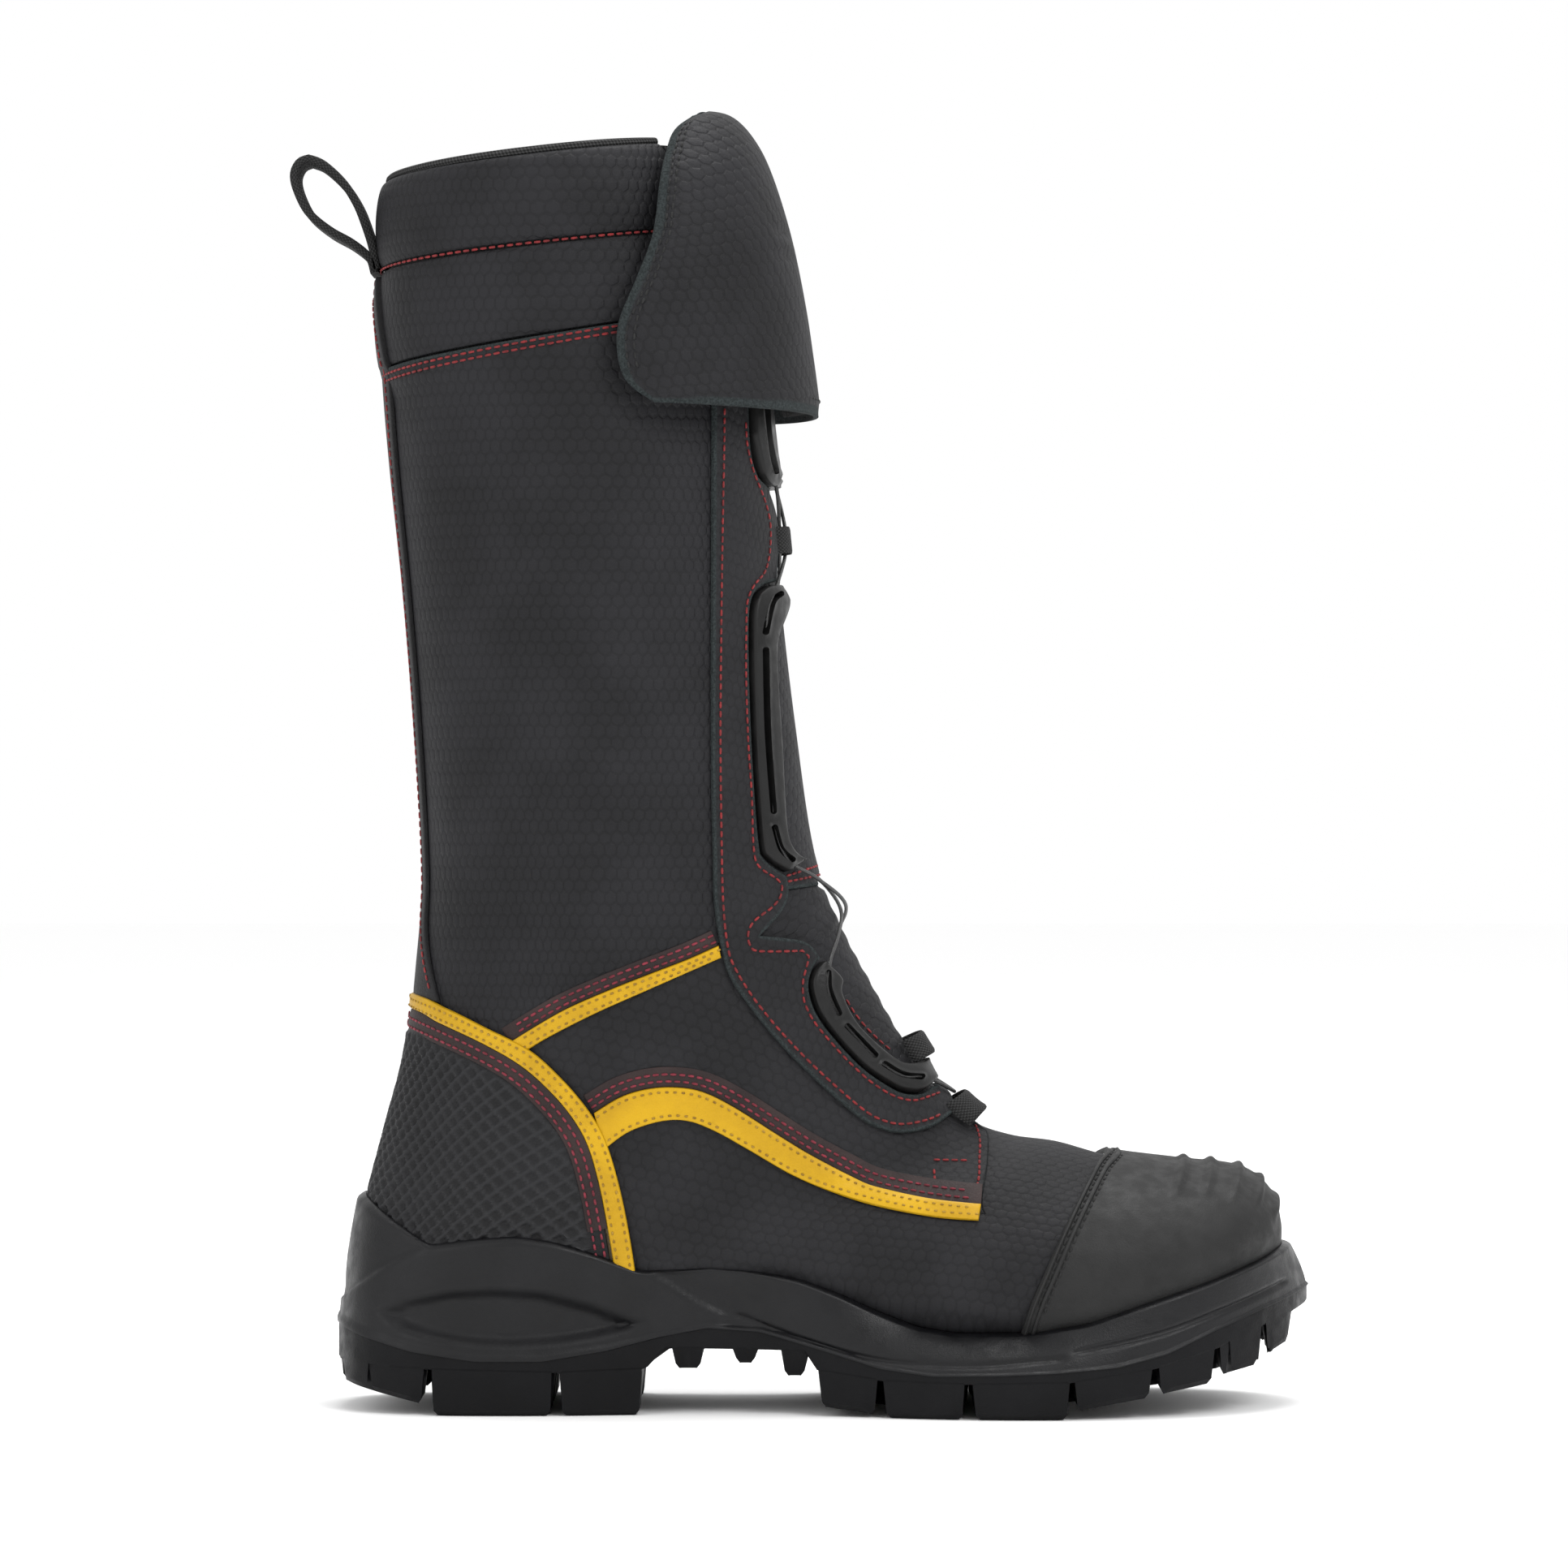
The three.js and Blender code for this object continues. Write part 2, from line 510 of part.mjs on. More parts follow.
const lacePath = wireCurve();
const LACE_STEPS = 72;
const laceRoom = solidOf(tube(lacePath, WIRE_CLEARANCE, LACE_STEPS));

// ---------------------------------------------------------------- Upper
const belowLasting = [...LASTING_LINE, [320, -20], [-20, -20]];
const lastingCut = sidePrism([...beside(LASTING_LINE, SEAM / 2), [320, -20], [-20, -20]]);
const leather = layer(LEATHER);
const shaftSeams = [FACING_CENTRE, COLLAR_FOOT, ANKLE_SEAM, HEEL_SEAM].map(seamCut);
const footSeams = [FACING_CENTRE, ANKLE_SEAM, HEEL_SEAM, SIDE_SEAM, QUARTER_FRONT, THROAT, TOE_CAP_REAR]
  .map(seamCut);
const tongueSeams = [FACING_CENTRE, THROAT, SHIN_FOOT].map(seamCut);

function addLining() {
  addPiece('lining_bootie', geometryOf(layer(LINING)), LINING_CLOTH);
}

function addSidePanels(side) {
  const shaft = [...ANKLE_SEAM, ...stretch(FACING_CENTRE, 119, 128.9).reverse(),
    ...COLLAR_FOOT.slice(0, 2).reverse(), ...stretch(HEEL_SEAM, -20, 55)];
  addPiece(`shaft_panel_${side}`, geometryOf(panel(leather, shaft, side, ...shaftSeams)), BLACK_LEATHER);
  const quarter = [...ANKLE_SEAM, ...FACING_CENTRE.slice(9), ...QUARTER_FRONT.slice(0, -1).reverse(),
    ...SIDE_SEAM.slice(0, -1).reverse(), ...stretch(HEEL_SEAM, 60, 80).reverse()];
  addPiece(`quarter_${side}`, geometryOf(panel(leather, quarter, side, ...footSeams)), BLACK_LEATHER);
}

function addVampAndHeel() {
  const vamp = [...SIDE_SEAM, ...QUARTER_FRONT.slice(1), ...THROAT.slice(1), ...TOE_CAP_REAR,
    ...stretch(HEEL_SEAM, 83.5, 97).reverse()];
  addPiece('vamp', geometryOf(panel(leather, vamp, 'both', lastingCut, ...footSeams)), BLACK_LEATHER);
  const heel = [...HEEL_SEAM, [-20, -5]];
  addPiece('heel_stiffener', geometryOf(panel(leather, heel, 'both', lastingCut, ...footSeams)), BOARD);
  const toe = [...TOE_CAP_REAR, [330, -5], [330, 92]];
  addPiece('toe_cap_insert', geometryOf(panel(leather, toe, 'both', lastingCut, ...footSeams)), STEEL);
}

// A box seen from the side, between two values of x.
function zone(fromX, toX, halfWidth) {
  return sidePrism([[fromX, -5], [toX, -5], [toX, 90], [fromX, 90]], -halfWidth, halfWidth);
}

function addTongue() {
  const shin = [...stretch(FACING_CENTRE, 99, 127.4), ...SHIN_FOOT, [180, 425]];
  const top = sheetBody(tongueTopGrid(), FLAP_THICKNESS);
  const shinPanel = panel(leather, shin, 'both', ...tongueSeams).add(solidOf(top));
  addPiece('tongue_shin', geometryOf(shinPanel), BLACK_LEATHER);
  const ankle = [...SHIN_FOOT, [220, 170], ...THROAT.slice().reverse(),
    ...FACING_CENTRE.slice(8, -1).reverse()];
  addPiece('tongue_ankle', geometryOf(panel(leather, ankle, 'both', ...tongueSeams)), BLACK_LEATHER);
}

// Above the collar the tongue draws together into the straight fold that the flap turns on.
function tongueTopGrid() {
  const rows = 4;
  const columns = 8;
  const rootSection = 0.12;
  const rootAngle = 0.52;
  const [foldX, foldZ] = FLAP_HINGE;
  return Array.from({ length: rows + 1 }, (_, r) => Array.from({ length: columns + 1 }, (_unused, c) => {
    const across = (2 * c) / columns - 1;
    const root = lifted(rootSection, -across * rootAngle, 0);
    const fold = new THREE.Vector3(foldX - FLAP_THICKNESS, across * FOLD_HALF_WIDTH, foldZ - 1);
    return root.lerp(fold, 1 - r / rows);
  }));
}

function addOverlays() {
  const overlay = layer(OVERLAY);
  const counter = [...HEEL_TRIM_INNER, [-20, 44]];
  const heelTrim = [...HEEL_TRIM_OUTER, ...HEEL_TRIM_INNER.slice().reverse()];
  const heelTrimRoom = sidePrism(heelTrim);
  const trimEdges = [HEEL_TRIM_OUTER, HEEL_TRIM_INNER].map(seamCut);
  const soleRoom = sidePrism([...beside(SOLE_TOP_LINE, FIT), [318, -5], [-5, -5]]);
  const sewn = (outline, side, ...cuts) => geometryOf(panel(overlay, outline, side, ...cuts));
  addPiece('heel_counter', sewn(counter, 'both', soleRoom, ...trimEdges), COUNTER_LEATHER);
  addPiece('heel_trim', sewn(heelTrim, 'both', soleRoom, ...trimEdges), YELLOW_LEATHER);
  const backStrip = panel(overlay, BACK_STRIP, 'both', ...trimEdges).add(solidOf(stripOverPad()));
  addPiece('back_strip', geometryOf(backStrip), BLACK_LEATHER);
  ['lateral', 'medial'].forEach((side) => {
    addPiece(`ankle_trim_${side}`, sewn(ANKLE_TRIM, side, heelTrimRoom, ...trimEdges), YELLOW_LEATHER);
    addPiece(`side_trim_${side}`, sewn(SIDE_TRIM, side, heelTrimRoom, ...trimEdges), YELLOW_LEATHER);
    addPiece(`facing_${side}`, sewn(FACING, side, laceRoom), BLACK_LEATHER);
  });
  const guard = [...TOE_GUARD_REAR, [330, 12], [330, 94]];
  addPiece('toe_guard', geometryOf(panel(layer(GUARD), guard, 'both', soleRoom)), GUARD_RUBBER);
}

// ---------------------------------------------------------------- Collar
function padCrown(share, height) {
  return PAD_EDGE + height * Math.max(Math.sin(Math.PI * share), 0) ** 0.6;
}

// The back strip carries on up over the lower collar pad, as far as the pull loop.
function stripOverPad() {
  const overPad = (angle, clearance) => STRIP_SHARES.map((share) => (
    lifted(1 + share, angle, padCrown(share, LOWER_PAD_CROWN) + clearance)));
  const belowPad = (angle, lift) => [2.04, 2.3].map((section) => lifted(section, angle, lift));
  const rings = [-1, -0.5, 0, 0.5, 1].map((across) => {
    const angle = Math.PI + across * BACK_STRIP_ANGLE;
    const outside = [...overPad(angle, STRIP_THICKNESS), ...belowPad(angle, OVERLAY[1] - 0.05)];
    const inside = [...overPad(angle, FIT), ...belowPad(angle, PAD_EDGE)];
    return [...outside, ...inside.reverse()];
  });
  return ringBodyFlat(rings, STRIP_SHARES.length + 2);
}

function padBody(top, foot, height) {
  const rows = 5;
  const columns = 18;
  const edge = 0.03;
  const sections = Array.from({ length: rows + 1 }, (_, r) => {
    const share = edge + (1 - 2 * edge) * (r / rows);
    return { at: top + (foot - top) * share, crown: padCrown(r / rows, height) };
  });
  const rings = Array.from({ length: columns + 1 }, (_, c) => {
    const angle = PAD_FRONT_ANGLE + (2 * Math.PI - 2 * PAD_FRONT_ANGLE) * (c / columns);
    const outside = sections.map(({ at, crown }) => lifted(at, angle, crown));
    const inside = sections.map(({ at }) => lifted(at, angle, PAD_INSIDE)).reverse();
    return [...outside, ...inside];
  });
  return ringBodyFlat(rings, rows + 1);
}

function addCollar() {
  addPiece('collar_pad_upper', padBody(0, 1, UPPER_PAD_CROWN), BLACK_LEATHER);
  addPiece('collar_pad_lower', padBody(1, 2, LOWER_PAD_CROWN), BLACK_LEATHER);
  const rim = Array.from({ length: 25 }, (_, k) => {
    const angle = PAD_FRONT_ANGLE + (2 * Math.PI - 2 * PAD_FRONT_ANGLE) * (k / 24);
    return lifted(0, angle, -1.6).add(new THREE.Vector3(0, 0, 1.75));
  });
  addPiece('collar_binding', tube(new THREE.CatmullRomCurve3(rim), 1.4, 40), LINING_CLOTH);
}

// ---------------------------------------------------------------- Flap
function flapPoint(place, turn) {
  const [frontX, frontZ, edgeX, edgeZ, halfWidth] = readTable(FLAP_ROWS, place);
  const power = 2 / FLAP_FULLNESS;
  const back = 1 - Math.abs(Math.cos(turn)) ** power;
  const out = Math.sign(Math.sin(turn)) * Math.abs(Math.sin(turn)) ** power;
  const x = frontX + (edgeX - frontX) * back;
  const z = frontZ + (edgeZ - frontZ) * back;
  return new THREE.Vector3(x, out * halfWidth, z);
}

function flapGrid(fromRow, toRow, rows, widest, columns, lift = 0) {
  return Array.from({ length: rows + 1 }, (_, r) => Array.from({ length: columns + 1 }, (_unused, c) => {
    const turn = widest * (1 - (2 * c) / columns);
    const point = flapPoint(fromRow + (toRow - fromRow) * (r / rows), turn);
    return point.add(new THREE.Vector3(lift, 0, 0));
  }));
}

function addFlap() {
  const flap = flapGrid(0, FLAP_ROWS.length - 1, 8, Math.PI / 2, FLAP_COLUMNS);
  addPiece('tongue_flap', sheetBody(flap, FLAP_THICKNESS), BLACK_LEATHER);
  const pad = flapGrid(...HOOK_PAD_ROWS, 2, HOOK_PAD_TURN, 6, HOOK_PAD_SETBACK);
  addPiece('flap_hook_pad', sheetBody(pad, HOOK_PAD_THICKNESS), WEBBING);
}

// ---------------------------------------------------------------- Sole
function lugProfile() {
  const bottom = LUGS.flatMap(([fromX, toX, fromZ, toZ, groove], k) => {
    const next = LUGS[k + 1];
    const points = [[fromX, fromZ], [toX, toZ]];
    return next ? [...points, [toX + 0.6, groove], [next[0] - 0.6, groove]] : points;
  });
  return [...bottom, ...SOLE_TIP, ...PARTING_LINE.slice().reverse(), [-5, 13]];
}

function addSole() {
  const outline = SOLE_OUTLINE;
  const outsole = plainPrism(outline, -5, 60).intersect(sidePrism(lugProfile()));
  addPiece('outsole', geometryOf(outsole), SOLE_RUBBER);
  const wall = [...beside(PARTING_LINE, FIT), ...SOLE_TOP_LINE.slice().reverse()];
  const plateRoom = form(PLATE_POCKET)
    .intersect(sidePrism(belowLasting, -PLATE_HALF_WIDTH - FIT, PLATE_HALF_WIDTH + FIT));
  const [shankStart, shankEnd] = SHANK_ENDS;
  const shankRoom = form(SHANK_POCKET).intersect(sidePrism(belowLasting))
    .intersect(zone(shankStart - 1, shankEnd + 1, SHANK_HALF_WIDTH + FIT));
  const midsole = plainPrism(beside(outline, MIDSOLE_INSET, true), -5, 100).intersect(sidePrism(wall))
    .subtract(form(SOLE_POCKET)).subtract(plateRoom).subtract(shankRoom);
  addPiece('midsole', geometryOf(midsole), SOLE_RUBBER);
}

function addInnerSole() {
  const bottomOf = (sheet, inset) => sheet.intersect(
    sidePrism([...beside(LASTING_LINE, -inset), [320, -20], [-20, -20]]));
  addPiece('insole_board', geometryOf(bottomOf(leather, SEAM / 2)), BOARD);
  addPiece('footbed', geometryOf(bottomOf(layer(FOOTBED), -4)), FOAM);
  const plate = bottomOf(layer(PLATE), 1).intersect(zone(...PLATE_ENDS, PLATE_HALF_WIDTH));
  addPiece('puncture_plate', geometryOf(plate), STEEL);
  const shank = bottomOf(layer(SHANK), 1).intersect(zone(...SHANK_ENDS, SHANK_HALF_WIDTH));
  addPiece('shank', geometryOf(shank), STEEL);
}

// ---------------------------------------------------------------- Closure
function addGuides() {
  const guides = layer(GUIDE);
  Object.entries({ upper_guide: UPPER_GUIDE, shin_guide: SHIN_GUIDE, instep_guide: INSTEP_GUIDE })
    .forEach(([name, outline]) => {
      ['lateral', 'medial'].forEach((side) => {
        addPiece(`${name}_${side}`, geometryOf(panel(guides, outline, side, laceRoom)), BLACK_PLASTIC);
      });
    });
}

function addWire() {
  addPiece('lace_wire', tube(lacePath, WIRE_RADIUS, LACE_STEPS), STEEL);
}

// Pieces of the dial are turned about their own axis, which stands square on the tongue.
function turned(profile, segments = 20) {
  const points = profile.map(([radius, height]) => new THREE.Vector2(radius, height));
  return new THREE.LatheGeometry(points, segments).rotateX(Math.PI / 2);
}

function addDial() {
  const seat = new THREE.Group();
  seat.position.copy(lifted(DIAL_LEVEL, 0, 0));
  seat.quaternion.setFromUnitVectors(new THREE.Vector3(0, 0, 1), skinNormal(DIAL_LEVEL, 0));
  boot.add(seat);
  addPiece('dial_base', turned(DIAL_PROFILES.base), BLACK_PLASTIC, seat);
  addPiece('dial_spool', turned(DIAL_PROFILES.spool), BLACK_PLASTIC, seat);
  addPiece('dial_knob', turned(DIAL_PROFILES.knob), BLACK_PLASTIC, seat);
  addPiece('dial_spring', turned(DIAL_PROFILES.spring), STEEL, seat);
  addPiece('dial_screw', turned(DIAL_PROFILES.screw, 16), STEEL, seat);
}

// A webbing keeper is a flat strap bridged over the wire.
function keeperBody(section, along, halfWidth, height, thickness) {
  const grid = Array.from({ length: 3 }, (_, r) => Array.from({ length: 9 }, (_unused, c) => {
    const across = 1 - c / 4;
    const angle = -across * halfWidth;
    const rise = height * Math.max(1 - across ** 4, 0) + thickness;
    return lifted(section + along * (r - 1), angle, rise);
  }));
  return sheetBody(grid, thickness);
}

function addKeepers() {
  Object.entries(KEEPERS).forEach(([name, sizes]) => {
    addPiece(name, keeperBody(...sizes), WEBBING);
  });
}

function addPullLoop() {
  const shape = new THREE.Shape(LOOP_OUTER.map(([x, z]) => new THREE.Vector2(x, z)));
  shape.holes.push(new THREE.Path(LOOP_HOLE.map(([x, z]) => new THREE.Vector2(x, z))));
  const geometry = new THREE.ExtrudeGeometry(shape, { depth: 2 * LOOP_HALF_WIDTH, bevelEnabled: false });
  geometry.rotateX(Math.PI / 2);
  geometry.translate(0, LOOP_HALF_WIDTH, 0);
  addPiece('pull_loop', geometry, WEBBING);
}

// ---------------------------------------------------------------- Assembly
addSole();
addInnerSole();
addLining();
['lateral', 'medial'].forEach(addSidePanels);
addVampAndHeel();
addTongue();
addOverlays();
addCollar();
addFlap();
addGuides();
addWire();
addDial();
addKeepers();
addPullLoop();

// The origin is the middle of the space the boot takes up, at the ground.
const space = new THREE.Box3().setFromObject(boot);
const middle = space.getCenter(new THREE.Vector3());
boot.position.set(-middle.x, -middle.y, -space.min.z);

export default boot;
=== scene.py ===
"""Fire boot: the finished surfaces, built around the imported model.

Shapes are worked out in millimetres in the boot's design frame, where x starts at the back of the
outsole, and turned into the row frame's metres when an object is made. Most pieces lie on one nominal
skin, given by a table of sections and an angle round each section.
"""
import math
import bpy
import numpy as np
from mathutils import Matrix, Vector
from mathutils.geometry import delaunay_2d_cdt


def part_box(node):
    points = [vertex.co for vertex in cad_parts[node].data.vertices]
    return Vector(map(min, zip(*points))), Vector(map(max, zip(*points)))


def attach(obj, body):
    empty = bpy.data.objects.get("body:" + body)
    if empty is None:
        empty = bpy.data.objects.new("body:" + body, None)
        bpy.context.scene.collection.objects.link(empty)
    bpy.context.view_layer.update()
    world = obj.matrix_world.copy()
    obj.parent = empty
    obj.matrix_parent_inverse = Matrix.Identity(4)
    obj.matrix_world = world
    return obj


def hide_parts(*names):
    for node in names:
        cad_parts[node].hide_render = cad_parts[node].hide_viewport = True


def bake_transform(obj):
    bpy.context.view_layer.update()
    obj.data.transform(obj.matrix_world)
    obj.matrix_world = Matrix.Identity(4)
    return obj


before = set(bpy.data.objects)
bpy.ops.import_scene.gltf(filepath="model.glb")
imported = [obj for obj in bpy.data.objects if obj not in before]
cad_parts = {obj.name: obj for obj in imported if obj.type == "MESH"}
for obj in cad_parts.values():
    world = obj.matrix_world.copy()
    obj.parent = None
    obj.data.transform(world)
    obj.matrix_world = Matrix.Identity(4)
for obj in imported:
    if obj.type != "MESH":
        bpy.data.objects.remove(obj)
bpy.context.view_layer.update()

MM = 0.001
HEEL_X = float(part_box("outsole")[0][0])
PI = math.pi

# ---------------------------------------------------------------- Dimensions
# Sections of the upper: front x, front z, back x, back z, half width, fullness, lowness, sideways shift.
SECTIONS = np.array([
    [114, 402.6, 16, 391.2, 51, 2.3, 1, 0],
    [126, 375, 15, 363, 52, 2.3, 1, 0],
    [132, 349.5, 16, 331, 53, 2.3, 1, 0],
    [137, 311, 18.5, 300, 53, 2.3, 1, 0],
    [142, 262, 22.5, 262, 52, 2.3, 1, 0],
    [147, 219, 26, 219, 50, 2.3, 1, 0],
    [153.5, 176, 28.8, 172, 47.5, 2.25, 1, 0],
    [163, 152, 26.8, 140, 45.5, 2.2, 1, 0],
    [172, 135, 23.4, 112, 43.5, 2.2, 1.05, 0],
    [181, 119, 17.2, 88, 42, 2.35, 1.1, 0],
    [190.5, 104.5, 10.4, 60, 40.5, 2.5, 1.15, 0],
    [203, 91.5, 9.8, 36, 39, 2.6, 1.2, 0],
    [216, 86.4, 50, 31, 38.5, 2.5, 1.3, 0],
    [231, 84.2, 125, 34.5, 42.5, 2.5, 1.4, 0.5],
    [248, 79.6, 190, 19.5, 49.5, 2.6, 1.5, 1.5],
    [270, 76.6, 238, 18.5, 50, 2.7, 1.5, 4],
    [289.5, 74, 268, 26, 43, 2.6, 1.4, 6.5],
    [298.6, 67.2, 286, 34, 32, 2.4, 1.2, 8.5],
    [301.3, 58.5, 297, 43, 18, 2.2, 1, 9.5],
    [301.6, 52.4, 300.8, 48, 6, 2, 1, 10],
    [301.8, 50.1, 301.6, 49.9, 0.4, 2, 1, 10],
])
TOE_TIP = len(SECTIONS) - 1
TOE_END = TOE_TIP - 1

# Layers of the upper: heights of their inner and outer faces over the nominal skin.
LINING = (-4.2, -1.9)
LEATHER = (-1.6, 0.0)
OVERLAY = (0.3, 1.6)
BAND = (0.05, 0.45)
COUNTER_BAND = (1.7, 2.0)
TRIM = (0.5, 1.6)
HEEL_TRIM = (1.0, 2.4)
FACING_LAYER = (0.3, 1.9)
BACK_STRIP = (0.2, 1.5)
GUARD = (0.3, 2.3)
WELT = (2.1, 3.1)
GUIDE = (0.3, 3.9)
TONGUE_SHIN_LAYER = (-1.6, 0.1)
TONGUE_ANKLE_LAYER = (-1.7, -0.5)
BAND_WIDTH = 6.4
ANKLE_BAND_WIDTH = 5.2
PAD_INSIDE = -0.9
PAD_EDGE = 0.5
UPPER_PAD_CROWN = 2.9
LOWER_PAD_CROWN = 1.3
PAD_FRONT_ANGLE = 0.66
SWELL_FRAMES = 20
BINDING_RADIUS = 1.4

# Lines seen from the side, as x and z.
COLLAR_FOOT = [(15.8, 331), (119, 347.6)]
ANKLE_SEAM = [(58, 114.5), (76, 124.7), (100.7, 136.5), (129, 152)]
THROAT = [(133, 140), (141, 129), (152, 116), (162, 106), (170, 100), (180, 95.5), (190, 94.5), (197, 95.5)]
QUARTER_FOOT = [(204, 92.5), (208.4, 88), (208.5, 81.4), (205.9, 67.3), (207, 63.5), (189, 65), (172.6, 68.3),
                (161.6, 72.5), (149, 79), (136, 86.5), (124, 94), (113, 98), (102.8, 98), (93.5, 95),
                (83, 89)]
SHAFT = [*ANKLE_SEAM, (127.5, 165), (127.5, 215), (127, 295), (124.5, 320), *COLLAR_FOOT[::-1],
         (-20, 325.4), (-20, 136), (23, 130), (36.4, 125.4), (50, 119)]
QUARTER = [*ANKLE_SEAM, *THROAT, *QUARTER_FOOT, (79, 95.7), (72, 104.5), (62.6, 112.5)]
VAMP = [(211, 110), (204, 102.5), (197, 95.5), *QUARTER_FOOT, (87.1, 77.5), (90, 64.5), (92.4, 53), (95, 40),
        (125, 40), (160, 32), (190, 20.5), (222, 19), (228, 30), (236, 45), (244, 60), (253, 75), (259, 80),
        (262, 96)]
COUNTER = [(-20, 131), (23, 126.7), (35.6, 122.1), (50, 115.7), (61.4, 108.9), (70.5, 100.7), (77, 92.4),
           (81.3, 84.1), (84.6, 72.3), (87.2, 58.9), (90, 41), (60, 48), (40, 46), (28, 46), (-20, 56)]
HEEL_TRIM_OUTER = [(-20, 137), (23.7, 132.3), (37.2, 127.9), (50, 122), (63.5, 115.3), (72.8, 107.2),
                   (80.3, 98.7), (85.4, 91), (88.9, 82.6), (92.3, 70), (94.8, 57.4), (97.5, 41)]
HEEL_TRIM_INNER = [(91, 41), (88, 59), (85.4, 72.5), (82.1, 84.4), (77.8, 92.8), (71.1, 101.2),
                   (61.7, 109.7), (50, 116.5), (35.6, 122.9), (23, 127.5), (-20, 132)]
ANKLE_TRIM_LOWER = [(62.4, 114.7), (69.4, 119.1), (83.8, 126.6), (100.7, 134.2), (123.6, 144.3)]
ANKLE_TRIM_UPPER = [(122.8, 148.1), (113.4, 143.9), (100.7, 139), (88, 133.9), (75.4, 128.3), (65.2, 122.4),
                    (57.4, 117.4)]
SIDE_TRIM_UPPER = [(83.8, 95.4), (92.3, 100.5), (100.7, 103), (109.1, 103.5), (117.6, 102.1), (127.2, 97.4),
                   (140.7, 88.7), (151.2, 82.1), (163.3, 75.5), (172.6, 71.1), (187.9, 67.8), (205.7, 65.9)]
SIDE_TRIM_LOWER = [(204.8, 61.2), (191.5, 62.2), (172.6, 65.5), (159.9, 69.4), (146, 75.5), (131.8, 83.9),
                   (121.9, 89.5), (113.4, 92.8), (104.9, 92.8), (94.8, 89.5), (86.6, 83.6)]
BACK_STRIP_EDGE = [(15.6, 361), (17.4, 346), (19, 331), (21.2, 300), (24.8, 262), (28.2, 219), (30.6, 172),
                   (30.2, 154), (31.5, 142), (34.6, 129.5)]
FACING = [(121, 345), (120.5, 313), (120.4, 215), (121, 177), (121.6, 160), (125.2, 141), (131.5, 130.2),
          (140.7, 118.5), (152.4, 106.2), (166, 94), (173, 89.8), (180.5, 88), (189.5, 89.2), (197, 93.4),
          (196, 101.5), (190.4, 101.6), (186.7, 99.6), (181.8, 99.8), (176.6, 102.1), (166.4, 109.8),
          (154.6, 123.5), (150.6, 133.6), (151.8, 140.5), (154, 143.5), (149, 148.9), (135.4, 151),
          (142, 158.4), (144, 164), (143.3, 169.5), (136.6, 174.8), (134.6, 181), (132.4, 211),
          (131.3, 242), (131.9, 256.6), (135.6, 261.8), (139.4, 263), (140.2, 280), (137, 292.5),
          (133.5, 297), (131.2, 309), (130.4, 345)]
UPPER_GUIDE = [(131.8, 309.3), (134.4, 297.6), (137.5, 293.6), (142.5, 294), (142, 301.2), (139.6, 304.5),
               (138.6, 312.5), (137.5, 326), (131, 326)]
SHIN_GUIDE = [(139.8, 262), (136.2, 261.1), (132.6, 256.3), (132, 242.3), (133.1, 210.9), (135.3, 181.2),
              (137.3, 175.4), (143, 171), (148, 174.4), (142.6, 182), (140.4, 211), (138.6, 242), (142, 256)]
INSTEP_GUIDE = [(154.6, 142.4), (151.9, 139), (151.4, 133.6), (155.4, 123.9), (166.8, 110.5), (176.9, 102.9),
                (182, 100.6), (186.5, 100.5), (190.5, 103), (187, 109), (178.6, 109.6), (166, 121),
                (160.2, 131.6), (160, 136.5)]
GUIDE_SLOTS = {
    "upper_guide": [[(133.6, 322), (134.4, 309), (136.6, 298)], [(138.8, 296.6), (140.2, 300.4)]],
    "shin_guide": [[(134.2, 246.5), (136, 256), (138.6, 259)], [(134.3, 241), (135.2, 215), (137.2, 190)],
                   [(137.6, 185), (139.6, 178), (143, 174.4)]],
    "instep_guide": [[(154.9, 138.6), (155.4, 133), (158.6, 125.4)], [(161.2, 121.4), (170, 111.9)],
                     [(172.9, 109), (178.6, 105.2), (184.6, 103.6)]],
}
# A slot's wall starts and ends at these distances from its middle line.
SLOT_WALL = (0.72, 0.86)
SLOT_DEPTH = 2.3
# Rows of red stitches.
SHAFT_TOP_ROWS = [[(17, 329.2), (89.8, 342), (118.5, 346.2)], [(17.6, 327.2), (90.3, 340.2), (118.6, 344.3)]]
FACING_ROWS = [
    [(123.2, 343), (123.4, 313), (122.9, 266.7), (122.7, 215.7), (123.3, 177.5), (123.9, 160.9),
     (125.2, 148.9), (127.2, 142), (133.4, 131.6), (142.5, 120.1), (154, 108.1), (167.3, 96.1),
     (173.9, 92.1), (180.5, 90.5), (188.7, 91.5), (194.1, 93.5)],
    [(129.8, 313.4), (130.3, 306), (132.3, 297.6), (134.6, 291.7), (136.2, 287.1), (137.4, 280.8),
     (137.2, 272.3), (135.8, 266), (132.6, 261.6), (130.6, 256.5), (130.3, 249.1), (130.3, 233.1),
     (131.1, 211.9), (132.2, 196.1), (132.9, 179), (134.6, 172.8), (140, 168.8), (141.8, 166.4),
     (141.2, 162.8), (138.6, 159.6), (135.8, 157.6), (133.2, 155.4), (131.8, 152.9), (131.6, 149.8),
     (132.9, 146.8), (135.4, 146.2), (142.5, 146), (148.4, 146), (150.4, 144), (149.4, 140),
     (148.6, 136.5), (148.7, 132.2), (149.6, 128.6), (152.7, 122.9), (159.4, 114.8), (164.7, 109.2),
     (170.6, 103.8), (177.6, 99.3), (183.7, 97.6), (188.4, 98.4), (193.2, 99.6)],
]
TONGUE_HEM_ROWS = [[(144.3, 169.8), (154.8, 172.9)], [(144.6, 168), (155.3, 169.8)]]
TONGUE_ARC = [(163.5, 130.5), (167, 125), (172.5, 118.8), (180.3, 112)]
TONGUE_ARC_GAP = 2.4
